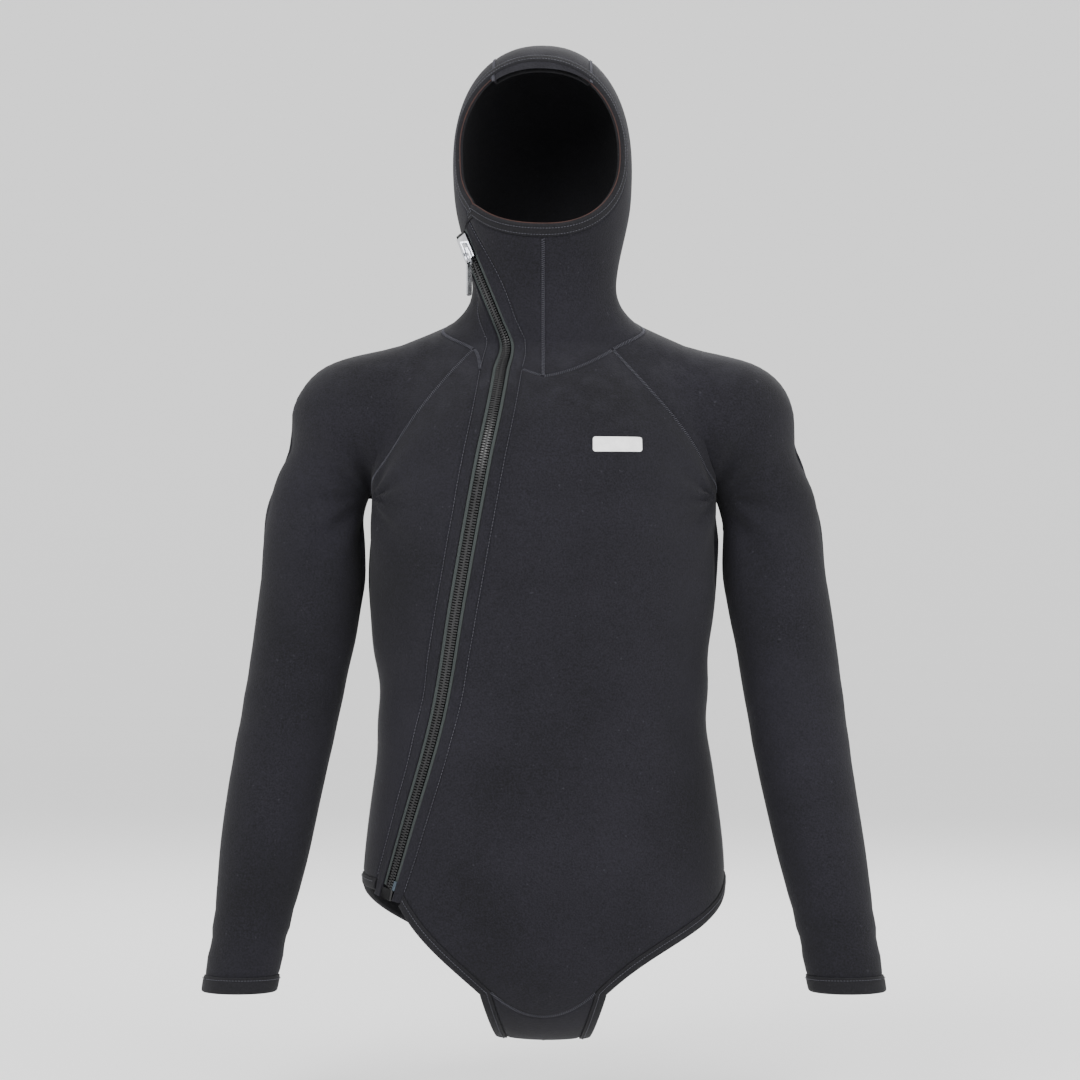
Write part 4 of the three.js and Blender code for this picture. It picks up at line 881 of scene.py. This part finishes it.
def round_panel(bottom, top, left, right, middle, by_arm=False):
    """A panel's grid of points and normals from its four seams."""
    chart = [round_place(edge, middle) for edge in (bottom, top, left, right)]
    places = enrich(fill_places(*chart))
    grid = round_point(places[..., 0], places[..., 1])
    normals = normals_of(grid)
    if by_arm:
        low = (places[..., 1] < ARMPIT[2] + 1)[..., None]
        trunk = round_point(places[..., 0], places[..., 1], trunk_form)
        grid = np.where(low, trunk, grid)
        normals = np.where(low, normals_of(trunk, trunk_form), normals)
    for edge, at in ((bottom, np.s_[0]), (top, np.s_[-1]),
                     (left, np.s_[:, 0]), (right, np.s_[:, -1])):
        grid[at] = enrich(edge, (0,))
    return grid, normals


trunk_top = join(chin_collar, neck_collar, raglan_front)
trunk_bottom = join(hem_front_right, crotch_front, hem_front_left[::-1])

# Front panel: neoprene from the zip round the left side and down to the crotch piece, glued and
# blind stitched along all its edges.
trunk_middles = {"front_body": -60, "front_side_panel": -150, "back_body": 90}
cloth("front_body", *round_panel(
    trunk_top, trunk_bottom, trunk_left, side_seam, trunk_middles["front_body"], True))

# Side front panel: the narrower piece on the other side of the zip, sewn to it and to the back.
cloth("front_side_panel", *round_panel(
    join((raglan_front * MIRROR)[::-1], side_collar[::-1]), hem_side_right,
    side_seam * MIRROR, trunk_right, trunk_middles["front_side_panel"], True))

# Back panel: one piece from side seam to side seam, up to the collar and down to the crotch.
cloth("back_body", *round_panel(
    join(raglan_back[::-1], back_collar, nape_collar, (back_collar * MIRROR)[::-1],
         raglan_back * MIRROR),
    join(hem_back_left, crotch_back[::-1], (hem_back_left * MIRROR)[::-1]),
    side_seam, side_seam * MIRROR, trunk_middles["back_body"], True))

# Crotch piece: a waisted strip that passes under between the legs from front seam to back seam.
UNDER_START = np.array([0, 4, -BOWL_START])


def under_turn(p):
    """Angle of points round the crossways line above the crotch."""
    return np.arctan2(UNDER_START[2] - p[..., 2], UNDER_START[1] - p[..., 1])


under_t = steps(6)[:, None]
under = mix(under_turn(crotch_front), under_turn(crotch_back), under_t)
under_x = crotch_x * mix(1, CROTCH_WAIST / CROTCH_HALF, np.sin(math.pi * under_t))
under_way = np.stack([0 * under, -np.cos(under), -np.sin(under)], axis=-1)
crotch_grid = leave(UNDER_START * [0, 1, 1] + under_x[..., None] * [1, 0, 0], under_way)
crotch_grid[0], crotch_grid[-1] = crotch_front, crotch_back
crotch_rich = enrich(crotch_grid)
cloth("crotch_gusset", crotch_rich, normals_of(crotch_rich))

# ---------------------------------------------------------------------------------------------
# Sleeves: cross-sections turn about the armpit from the raglan seam to square across the arm.
SHOULDER_ROWS, ARM_ROWS = 6, 8
CUFF_SEAM = CUFF_DROP - CUFF_BINDING
armhole = join(sleeve_collar, raglan_back, raglan_front[::-1])[:-1]
hole_phi, hole_lean = sleeve_place(raglan_frame, armhole)
shoulder_t = steps(SHOULDER_ROWS)[1:-1]
shoulder = sleeve_frame(
    mix(RAGLAN_TURN, 0, shoulder_t ** 0.6),
    mix(75, UPPER_ARM, shoulder_t) + 20 * np.sin(math.pi * shoulder_t), 34 * shoulder_t)
shoulder = tuple(part[:, None] for part in shoulder)
shoulder_lean = hole_lean * (1 - shoulder_t[:, None]) ** 1.5
shoulder_rows = sleeve_point(shoulder, hole_phi + 0 * shoulder_lean, shoulder_lean)
arm_drop = mix(34 - ARMPIT[2], CUFF_SEAM, steps(ARM_ROWS))


def arm_axis(drop):
    """The middle of the arm at a drop below the collar."""
    return np.stack([CHEST_HALF + arm_out(drop), -arm_forward(drop), -drop], axis=-1)


_, arm_outward, arm_onward = sleeve_frame(0, 0, 0)
arm_place = (arm_axis(arm_drop)[:, None], arm_outward, arm_onward)
arm_phi = hole_phi + 0 * arm_drop[:, None]
arm_rows = sleeve_point(arm_place, arm_phi, 0 * arm_phi, arm_form)
sleeve_points = enrich(np.concatenate([armhole[None], shoulder_rows, arm_rows]), (0,))
sleeve_normals = np.concatenate([
    normals_of(sleeve_points[:-len(arm_rows) - 2]),
    normals_of(sleeve_points[-len(arm_rows) - 2:], arm_form)])

# Left and right sleeve: raglan cut, sewn round the armhole, with the cuff strip folded on below.
cloth("sleeve_left", sleeve_points, sleeve_normals, ring=True)
cloth("sleeve_right", sleeve_points * MIRROR, sleeve_normals * MIRROR, ring=True)

# Cuffs: folded strips that close the sleeve ends, stitched along their upper edge.
cuff_drop = mix(CUFF_SEAM, CUFF_DROP, np.linspace(0, 1, 8))
cuff_phi = hole_phi + 0 * cuff_drop[:, None]
cuff_rows = sleeve_point((arm_axis(cuff_drop)[:, None], arm_outward, arm_onward), cuff_phi,
                         0 * cuff_phi, arm_form)

# ---------------------------------------------------------------------------------------------
# Hood: chin piece between the zip and the centre seam, two side pieces and the crown strip,
# all glued and stitched edge to edge.
cloth("hood_chin", *round_panel(chin_collar, chin_face, neck_left[::-1], centre_seam, -90))
cloth("hood_side_left", *round_panel(
    join(neck_collar, sleeve_collar, back_collar), left_face, centre_seam, crown_left, 0))
zip_top_middle = settle(zip_centre(ZIP_TOP))
half = np.linspace(0, 1, FINE + 1)[:, None]
zip_top_cut = join(mix(neck_right[0], zip_top_middle, half),
                   mix(zip_top_middle, neck_left[0], half))
cloth("hood_side_right", *round_panel(
    join(side_collar, sleeve_collar * MIRROR, back_collar * MIRROR),
    join(zip_top_cut, right_face[::-1]), neck_right[::-1], crown_right, -180))
crown_t = steps(3)[None, :, None]
crown_guess = mix(crown_left[:, None], crown_right[:, None], crown_t)
crown_start = np.stack([crown_guess[..., 0], 0 * crown_guess[..., 0] + CROWN_Y,
                        np.minimum(crown_guess[..., 2], CROWN_Z)], axis=-1)
crown_grid = leave(crown_start, (crown_guess - crown_start) * [0, 1, 1])
crown_grid[0], crown_grid[-1] = nape_collar, crown_face
crown_grid[:, 0], crown_grid[:, -1] = crown_left, crown_right
crown_rich = enrich(crown_grid)
cloth("hood_crown", crown_rich, normals_of(crown_rich))

# ---------------------------------------------------------------------------------------------
# Bindings: strips folded over the raw edges. Each section is a flattened loop that follows the
# edge line, so the strip has a rounded outer fold and stands slightly proud of the panel.
def strip_rows(line, normals, towards, closed, ends=None):
    """The direction across a strip at each point of its line, away from the panel."""
    along = np.roll(line, -1, 0) - np.roll(line, 1, 0)
    if not closed:
        along[0], along[-1] = line[1] - line[0], line[-1] - line[-2]
    off = unit(np.cross(normals, along))
    off = np.where((off * towards).sum(-1, keepdims=True) < 0, -off, off)
    if ends is not None:
        off[0], off[-1] = ends, ends
    return off


def loop_section(width, outer, inner, rounding, count=7):
    """Places (distance across, height) round a flat loop whose far edge is a rounded fold."""
    mid, half_height = (outer - inner) / 2, (outer + inner) / 2
    turn = np.linspace(math.pi / 2, -math.pi / 2, count)
    fold_x = width - rounding + rounding * np.cos(turn)
    fold_y = mid + half_height * np.sin(turn)
    flat = np.linspace(0, width - rounding, 5)[:-1]
    swell = 0.35 * np.sin(math.pi * flat / (width - rounding)) - 0.25 * (flat == 0)
    upper = np.stack([flat, outer + swell], axis=-1)
    lower = np.stack([flat[::-1], -inner - swell[::-1]], axis=-1)
    return np.concatenate([upper, np.stack([fold_x, fold_y], axis=-1), lower])


def folded_strip(name, line, normals, off, width, closed=True):
    """A binding along a line: the section is carried along it and closed on itself."""
    section = loop_section(width, 0.9, NEOPRENE + 0.9, 2.4)
    move = folds(line)
    reach = section[None, :, :1] * off[:, None] + 0.15 * off[:, None]
    lift = (section[None, :, 1:] + move[:, None, None]) * normals[:, None]
    grid = line[:, None] + reach + lift
    rows, columns = grid.shape[:2]
    points = grid.reshape(-1, 3)
    index = np.arange(rows * columns).reshape(rows, columns)
    index = np.concatenate([index, index[:, :1]], axis=1)
    if closed:
        index = np.concatenate([index, index[:1]])
    faces = np.stack([index[:-1, :-1], index[:-1, 1:], index[1:, 1:], index[1:, :-1]], axis=-1)
    faces = faces.reshape(-1, 4)
    if not closed:
        n = columns
        caps = [[i, i + 1, n - 2 - i, n - 1 - i] for i in range(n // 2 - 1)]
        first = np.array(caps)
        faces = np.concatenate([faces, first[:, ::-1], first + (rows - 1) * n])
    faces = facing_out(points, faces)
    piece = make_object(name + "_fold", points, faces, [binding],
                        uv=lengths_uv(grid).reshape(-1, 2))
    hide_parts(name)
    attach(piece, "jacket")
    return piece


# Face binding: a strip of the same knit, folded over the raw edge all round the hood's opening
# and held by two rows of stitches.
face_line = join(chin_face, left_face, crown_face, right_face)[:-1]
face_normals = normals_of(face_line)
face_off = strip_rows(face_line, face_normals, np.array([0, -90, 180]) - face_line, True)
folded_strip("face_binding", face_line, face_normals, face_off, FACE_BINDING)

# Leg bindings: the left one is a closed ring, the right one runs from one side of the zip to the
# other. Both pass under the crotch piece.
leg_left = join(hem_front_left, crotch_grid[:, -1], hem_back_left[::-1])[:-1]
leg_right = join(hem_front_right, crotch_grid[:, 0], (hem_back_left * MIRROR)[::-1], hem_side_right)
leg_middle = np.array([HIP_WIDTH / 2, 0, -CROTCH_DROP])
leg_left_normals, leg_right_normals = normals_of(leg_left), normals_of(leg_right)
leg_left_off = strip_rows(leg_left, leg_left_normals, leg_middle - leg_left, True)
hem_along = zip_frame(trunk_z[-1])[1]
leg_right_off = strip_rows(
    leg_right, leg_right_normals, leg_middle * MIRROR - leg_right, False, hem_along)
folded_strip("leg_binding_left", leg_left, leg_left_normals, leg_left_off, HEM_BINDING)
folded_strip("leg_binding_right", leg_right, leg_right_normals, leg_right_off, HEM_BINDING, False)

# Cuffs: 16 mm strips of the same knit, folded round the sleeve ends and held by one row of
# stitches.
cuff_line = cuff_rows[0]
cuff_normals = unit(normals_of(cuff_line, arm_form) * [1, 1, 0])
cuff_off = np.broadcast_to(unit(arm_axis(CUFF_DROP) - arm_axis(CUFF_SEAM)), cuff_line.shape)
folded_strip("cuff_left", cuff_line, cuff_normals, cuff_off, CUFF_BINDING)
folded_strip("cuff_right", cuff_line * MIRROR, cuff_normals * MIRROR,
             cuff_off * MIRROR, CUFF_BINDING)

# ---------------------------------------------------------------------------------------------
# Neoprene bands beside the chain: their inner edge is a raised fold along the tape, and their
# outer edge is sewn to the front panels and the hood.
all_z = np.concatenate([neck_z, trunk_z[1:], [ZIP_BOTTOM]])
centre, along, normal, sideways = zip_frame(all_z)
BAND_INNER = TAPE_EDGE + 0.5
ZIP_END = 3.5


def zip_points(distance, height):
    """Points beside the zip's middle, all along it: one row each for lists of distances."""
    distance, height = np.asarray(distance, float), np.asarray(height, float)
    return (centre[:, None] + sideways[:, None] * distance[None, :, None]
            + normal[:, None] * height[None, :, None])


def strip_solid(name, grid, materials, body="jacket", ends=True, sharp=50):
    """A closed tube of sections: the loop of each row is joined to the next, with flat ends."""
    rows, columns = grid.shape[:2]
    index = np.arange(rows * columns).reshape(rows, columns)
    index = np.concatenate([index, index[:, :1]], axis=1)
    faces = np.stack([index[:-1, :-1], index[:-1, 1:], index[1:, 1:], index[1:, :-1]], axis=-1)
    faces = faces.reshape(-1, 4)
    if ends:
        half = columns // 2
        caps = np.array([[i, i + 1, columns - 2 - i, columns - 1 - i] for i in range(half - 1)])
        faces = np.concatenate([faces, caps[:, ::-1], caps + (rows - 1) * columns])
    points = grid.reshape(-1, 3)
    faces = facing_out(points, faces)
    piece = make_object(name, points, faces, materials,
                        uv=lengths_uv(grid).reshape(-1, 2), sharp=sharp)
    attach(piece, body)
    return piece


def finish_ends(grid):
    """Moves the first section of a zip strip down from the zip's top by the end clearance."""
    grid[0] += ZIP_END * along[0]
    return grid


for side, sign in (("left", 1), ("right", -1)):
    outer_line = settle(centre + sign * BAND_EDGE * sideways)
    outer_line = outer_line - 0.25 * sign * sideways
    outer_normal = normals_of(outer_line)
    across = np.array([0, 0.04, 0.1, 0.2, 0.35, 0.5, 0.65, 0.8, 0.9, 0.97, 1.0])
    raise_up = np.array([-0.5, 0.5, 0.9, 0.75, 0.35, 0.2, 0.25, 0.2, -0.1, -0.5, -0.9])
    inner_line = centre + sign * BAND_INNER * sideways
    base = mix(inner_line[:, None], outer_line[:, None], across[None, :, None])
    lean = unit(mix(normal[:, None], outer_normal[:, None], across[None, :, None]))
    swell = folds(base) * across[None]
    top = base + lean * (swell + raise_up[None])[..., None]
    foot = base - lean * (NEOPRENE - 0.2 - swell)[..., None]
    band = strip_solid("zip_band_" + side + "_cloth",
                       finish_ends(np.concatenate([top, foot[:, ::-1]], axis=1)), [jersey])
    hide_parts("zip_band_" + side)

# Flap behind the chain: a thin strip of the same neoprene, which keeps water and the teeth off
# the skin.
flap = np.concatenate([zip_points([-8, -4, 0, 4, 8], [-6.2] * 5),
                       zip_points([8, 4, 0, -4, -8], [-8.0] * 5)], axis=1)
flap[0] += 3 * ZIP_END * along[0]
flap_piece = strip_solid("zip_flap", flap, [lining])
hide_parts("zip_underflap")

# ---------------------------------------------------------------------------------------------
# Zip tape: woven polyester, grey with a faint green cast, showing as a thin line on each side.
tape_cloth, tape_tree, tape_shader = material("woven_tape", 0.75)
tape_weave = use_group(tape_tree, weave)
tape_tree.links.new(two_colours(tape_tree, tape_weave.outputs["Rib"], (0.014, 0.018, 0.018),
                                (0.035, 0.045, 0.043)), tape_shader.inputs["Base Color"])
tape_tree.links.new(tape_weave.outputs["Normal"], tape_shader.inputs["Normal"])
for side, sign in (("left", 1), ("right", -1)):
    over = np.array([CHAIN_HALF + 0.4, 5.6, 6.8, TAPE_EDGE]) * sign
    grid = np.concatenate([zip_points(over, [-0.7, -0.55, -0.55, -0.7]),
                           zip_points(over[::-1], [-1.5] * 4)], axis=1)
    tape = strip_solid("zip_tape_" + side + "_woven", finish_ends(grid)[:-1], [tape_cloth])
    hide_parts("zip_tape_" + side)

# ---------------------------------------------------------------------------------------------
# Teeth: moulded black plastic, each a bead clamped on its own tape with a rounded head that
# reaches between two of the other row. 2.6 mm apart in each row, the rows half a step apart.
moulded = plain_material("moulded_black", (0.0015, 0.0015, 0.0018), (0.004, 0.004, 0.005), 0.3)
PITCH = 2.6
zip_run = np.concatenate([[0], np.linalg.norm(np.diff(centre, axis=0), axis=-1).cumsum()])


def along_zip(distance, table):
    """Values of a table of the zip's rows at distances from its top end."""
    return np.stack([np.interp(distance, zip_run, table[:, i]) for i in range(3)], axis=-1)


def rounded_block(half_length, profile_points, bevel):
    """A block whose outline across the zip is given; its ends along the zip are drawn in."""
    outline = np.array(profile_points, float)
    middle = outline.mean(axis=0)
    rings = []
    for place, shrink in ((-1, 1 - bevel), (-0.72, 1), (0.72, 1), (1, 1 - bevel)):
        ring = middle + (outline - middle) * shrink
        rings.append(np.column_stack([ring, np.full(len(ring), place * half_length)]))
    points = np.concatenate(rings)
    n = len(outline)
    i = np.arange(n)
    faces = [np.stack([i + k * n, (i + 1) % n + k * n, (i + 1) % n + (k + 1) * n, i + (k + 1) * n],
                      axis=-1) for k in range(3)]
    caps = np.array([[j, j + 1, n - 2 - j, n - 1 - j] for j in range(n // 2 - 1)])
    return points, np.concatenate(faces + [caps[:, ::-1], caps + 3 * n])


def place_blocks(points, faces, distance, flip):
    """Copies of a block at distances along the zip, on its left or mirrored on its right."""
    here, down = along_zip(distance, centre), unit(along_zip(distance, along))
    up, beside = unit(along_zip(distance, normal)), unit(along_zip(distance, sideways))
    local = points * [flip, 1, 1]
    spots = (here[:, None] + beside[:, None] * local[None, :, :1]
             + up[:, None] * local[None, :, 1:2]
             + down[:, None] * local[None, :, 2:])
    shift = (np.arange(len(distance)) * len(points))[:, None, None]
    return spots.reshape(-1, 3), facing_out(points * [flip, 1, 1], faces)[None] + shift


tooth_outline = [(-1.2, -1.5), (-1.2, 0.4), (-0.6, 0.9), (1.6, 0.95), (3.6, 0.9), (4.5, 0.4),
                 (4.5, -1.9), (3.6, -2.5), (1.6, -2.6), (-0.6, -2.2)]
tooth, tooth_faces = rounded_block(1.0, tooth_outline, 0.22)
for side, sign in (("left", 1), ("right", -1)):
    first = ZIP_END + 4.4 + (0 if sign > 0 else PITCH / 2)
    places = np.arange(first, zip_run[-1] - 11, PITCH)
    spots, quads = place_blocks(tooth, tooth_faces, places, sign)
    row = make_object("zip_teeth_" + side + "_row", spots, quads.reshape(-1, 4),
                      [moulded], sharp=40)
    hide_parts("zip_teeth_" + side)
    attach(row, "jacket")

# Top stops: moulded plastic like the teeth, one longer bead on each side above the first tooth,
# where the slider has to stop.
stop, stop_faces = rounded_block(1.5, [(0.6, -2.6), (0.6, 1.0), (0.9, 1.3), (4.0, 1.3), (4.5, 0.9),
                                       (4.5, -2.6)], 0.15)
for side, sign in (("left", 1), ("right", -1)):
    spots, quads = place_blocks(stop, stop_faces, np.array([ZIP_END + 1.5]), sign)
    end = make_object("top_stop_" + side + "_bead", spots, quads.reshape(-1, 4),
                      [moulded], sharp=40)
    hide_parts("top_stop_" + side)
    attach(end, "jacket")

# ---------------------------------------------------------------------------------------------
# Retainer box and pin at the lower end: moulded with the teeth, with rounded edges; a short film
# strip that stiffens the tape's end shows beside them.
box_outline = [(-7.6, -2.4), (-7.6, 0.9), (-6.6, 1.8), (-3.0, 1.8), (3.0, 1.8), (6.6, 1.8),
               (7.6, 0.9), (7.6, -2.4), (6.6, -3.4), (2.0, -3.4), (-2.0, -3.4), (-6.6, -3.4)]
box_block, box_faces = rounded_block(5.2, box_outline, 0.12)
BOX_AT = zip_run[-1] - 5.3
spots, quads = place_blocks(box_block, box_faces, np.array([BOX_AT]), 1)
retainer = make_object("retainer_box", spots, quads.reshape(-1, 4), [moulded], sharp=35)
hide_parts("bottom_box")
pin_block, pin_faces = rounded_block(6.0, [(1.5, -1.9), (1.5, 0.1), (1.8, 0.4), (3.4, 0.4),
                                           (3.7, 0.1), (3.7, -1.9)], 0.15)
spots, quads = place_blocks(pin_block, pin_faces, np.array([BOX_AT - 1.5]), 1)
pin = make_object("retainer_pin", spots, quads.reshape(-1, 4), [moulded], sharp=35)
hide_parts("bottom_pin")
film = plain_material("film_strip", (0.03, 0.045, 0.06), (0.05, 0.07, 0.09), 0.35)
film_block, film_faces = rounded_block(4.5, [(4.8, -1.2), (4.8, 0.5), (5.0, 0.7), (8.1, 0.7),
                                             (8.3, 0.5), (8.3, -1.2)], 0.05)
spots, quads = place_blocks(film_block, film_faces, np.array([BOX_AT - 10.5]), 1)
film_end = make_object("tape_film", spots, quads.reshape(-1, 4), [film], sharp=35)
for piece, slot in ((retainer, "zip_teeth"), (pin, "zip_teeth"), (film_end, "zip_tape")):
    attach(piece, "jacket")

# ---------------------------------------------------------------------------------------------
# Slider, bridge, link and pull: cast metal, chromed, with smudges and fine scratches. The exact
# solids stay; only their finish is set here.
chrome = plain_material("chromed_metal", (0.62, 0.63, 0.66), (0.75, 0.76, 0.79), 0.16, metallic=1.0)
for name in ("slider_body", "slider_bridge", "pull_link", "pull_tab"):
    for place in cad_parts[name].material_slots:
        place.material = chrome

# Chest badge: a blank white film plate with rounded corners, bonded to the jersey, so it follows
# the folds and stands slightly proud of them.
white = plain_material("white_film", (0.78, 0.78, 0.78), (0.9, 0.9, 0.9), 0.42)
BADGE_X, BADGE_Z, BADGE_WIDTH, BADGE_HEIGHT, BADGE_CORNER = 69, -98, 46, 14, 2.5


def rounded_patch(width, height, corner, count_u=40, count_v=14):
    """Even rows of places in a rectangle whose ends follow rounded corners."""
    x = width / 2 * np.sin(np.linspace(-1, 1, count_u) * math.pi / 2)
    past = np.clip(np.abs(x) - (width / 2 - corner), 0, corner * 0.999)
    half_height = height / 2 - corner + np.sqrt(corner ** 2 - past ** 2)
    v = np.sin(np.linspace(-1, 1, count_v) * math.pi / 2)[:, None]
    return np.broadcast_to(x, (count_v, count_u)), v * half_height


def bonded_patch(name, grid, normals, foot, top, materials, sharp=60):
    """A thin plate over a grid of points: its outer face stands from foot to top, edges eased."""
    rim = np.ones(grid.shape[:2])
    rim[0], rim[-1], rim[:, 0], rim[:, -1] = 0, 0, 0, 0
    rim[1, 1:-1], rim[-2, 1:-1], rim[1:-1, 1], rim[1:-1, -2] = 0.9, 0.9, 0.9, 0.9
    move = folds(grid)
    outer = grid + normals * (move + mix(mix(foot, top, 0.6), top, rim))[..., None]
    inner = grid + normals * (move + foot)[..., None]
    points = np.concatenate([outer.reshape(-1, 3), inner.reshape(-1, 3)])
    faces, _ = closed_faces(*grid.shape[:2])
    piece = make_object(name, points, facing_out(points, faces), materials,
                        uv=np.concatenate([lengths_uv(grid).reshape(-1, 2)] * 2), sharp=sharp)
    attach(piece, "jacket")
    return piece


badge_u, badge_v = rounded_patch(BADGE_WIDTH, BADGE_HEIGHT, BADGE_CORNER)
badge_grid = front_at(BADGE_X + badge_u, BADGE_Z + badge_v)
badge = bonded_patch("badge_plate", badge_grid, normals_of(badge_grid), 0.02, 0.9, [white])
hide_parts("chest_badge")

# Garage: a small neoprene pad on the band beside the slider's top, with a rounded end. It shields
# the skin from the slider.
PAD_WIDTH, PAD_LENGTH = 12, 30
pad_u, pad_v = rounded_patch(PAD_WIDTH, PAD_LENGTH, 5, 18, 30)
pad_at = PAD_LENGTH / 2 + 1 + pad_v
pad_grid = (along_zip(pad_at.ravel(), centre).reshape(pad_at.shape + (3,))
            + sideways[0] * (15.0 + pad_u)[..., None])
pad_normals = np.broadcast_to(normal[0], pad_grid.shape)
pad_drop = np.where(pad_u > 0, -0.012 * (pad_u + 6) ** 2, 0.0)
pad = bonded_patch("zip_garage_pad", pad_grid + pad_normals * pad_drop[..., None], pad_normals,
                   -1.5, 2.2, [binding], 70)

# Cut edge: the reddish raw edge of the laminate shows as a thin line inside the face binding.
edge_line = face_line + face_off * 12.3 - face_normals * 2.6
edge_turn = np.linspace(0, 2 * math.pi, 8, endpoint=False)[None, :, None]
edge_line = edge_line + face_normals * folds(face_line)[:, None]
edge_grid = edge_line[:, None] + 0.55 * (np.cos(edge_turn) * face_off[:, None]
                                         + np.sin(edge_turn) * face_normals[:, None])
cut = strip_solid("face_cut_edge", np.concatenate([edge_grid, edge_grid[:1]]), [edging], ends=False)

# ---------------------------------------------------------------------------------------------
# Stitches: small bars of grey thread laid over the seams, one mesh for each kind of seam.
STITCH_LENGTH, STITCH_PITCH, THREAD = 3.4, 1.9, 0.32
SQUARE = 1.57  # slant of a stitch that lies across its seam, in radians


def even_places(line, pitch):
    """Points at equal distances along a line, with its direction there."""
    run = np.concatenate([[0], np.linalg.norm(np.diff(line, axis=0), axis=-1).cumsum()])
    places = np.arange(pitch, run[-1] - pitch, pitch)
    spots = np.stack([np.interp(places, run, line[:, i]) for i in range(3)], axis=-1)
    ahead = np.stack([np.interp(places + 0.5, run, line[:, i]) for i in range(3)], axis=-1)
    return spots, unit(ahead - spots)


def thread_bars(name, lines, slant, length=STITCH_LENGTH, pitch=STITCH_PITCH, aside=0.0, lift=0.25,
                form=body_form):
    """Bars across the lines, turned from square by a slant and set aside from them."""
    points, faces, total = [], [], 0
    turn = np.linspace(0, 2 * math.pi, 6, endpoint=False)
    for line in lines:
        spots, run = even_places(line, pitch)
        up = normals_of(spots, form)
        off = unit(np.cross(up, run))
        bar = unit(off * math.cos(slant) + run * math.sin(slant))
        thick = unit(np.cross(bar, up))
        spots = spots + up * (folds(spots) + lift)[:, None] + off * aside
        for place, size in ((-0.5, 0.45), (-0.42, 1.0), (0.42, 1.0), (0.5, 0.45)):
            arch = up * (0.3 * (1 - (2 * place) ** 2))
            ring = (np.cos(turn)[None, :, None] * thick[:, None]
                    + np.sin(turn)[None, :, None] * up[:, None]) * THREAD * size
            points.append((spots + bar * length * place + arch)[:, None] + ring)
        stack = np.stack(points[-4:], axis=1).reshape(-1, 3)
        points[-4:] = [stack]
        i = np.arange(6)
        sides = [np.stack([i + 6 * k, (i + 1) % 6 + 6 * k, (i + 1) % 6 + 6 * k + 6, i + 6 * k + 6],
                          axis=-1) for k in range(3)]
        caps = np.array([[0, 1, 2, 5], [2, 3, 4, 5]])
        block = np.concatenate(sides + [caps[:, ::-1], caps + 18])
        block = facing_out(stack[:24], block)
        first = np.arange(len(spots)) * 24 + total
        faces.append((block[None] + first[:, None, None]).reshape(-1, 4))
        total += len(stack)
    piece = make_object(name, np.concatenate(points), np.concatenate(faces), [thread], sharp=70)
    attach(piece, "jacket")
    return piece


# Zigzag over the butt seams of the hood and collar, the raglans, sides, crotch and hems.
both = (1, MIRROR)
neck_seams = [side_collar, chin_collar, neck_collar, sleeve_collar, back_collar, nape_collar]
neck_seams += [part * MIRROR for part in (sleeve_collar, back_collar)]
thread_bars("stitches_collar", neck_seams, 0.35)
thread_bars("stitches_hood", [centre_seam, crown_left, crown_right], 0.35)
thread_bars("stitches_raglan",
            [line * side for side in both for line in (raglan_front[:-4], raglan_back[:-4])], 0.35)
thread_bars("stitches_sides", [side_seam[6:] * side for side in both], 0.35, form=trunk_form)
thread_bars("stitches_crotch", [crotch_front, crotch_back], 0.35)
thread_bars("stitches_zip", [trunk_left, trunk_right, neck_left, neck_right],
            SQUARE, 2.2, 3.2, 0.0, 0.15)
# Two rows of short stitches along the bindings and one on the cuffs.
for aside in (2.6, 9.0):
    row = face_line + face_off * aside
    thread_bars("stitches_face_" + str(int(aside)), [np.concatenate([row, row[:1]])],
                SQUARE, 1.9, 2.8, 0.0, 1.45)
thread_bars("stitches_legs", [leg_left + leg_left_off * 3.0, leg_right + leg_right_off * 3.0],
            SQUARE, 1.9, 2.8, 0.0, 1.45)
cuff_row = np.concatenate([cuff_line, cuff_line[:1]]) + cuff_off[0] * 3.0
thread_bars("stitches_cuffs", [cuff_row * side for side in both],
            SQUARE, 1.9, 2.8, 0.0, 1.45, form=arm_form)
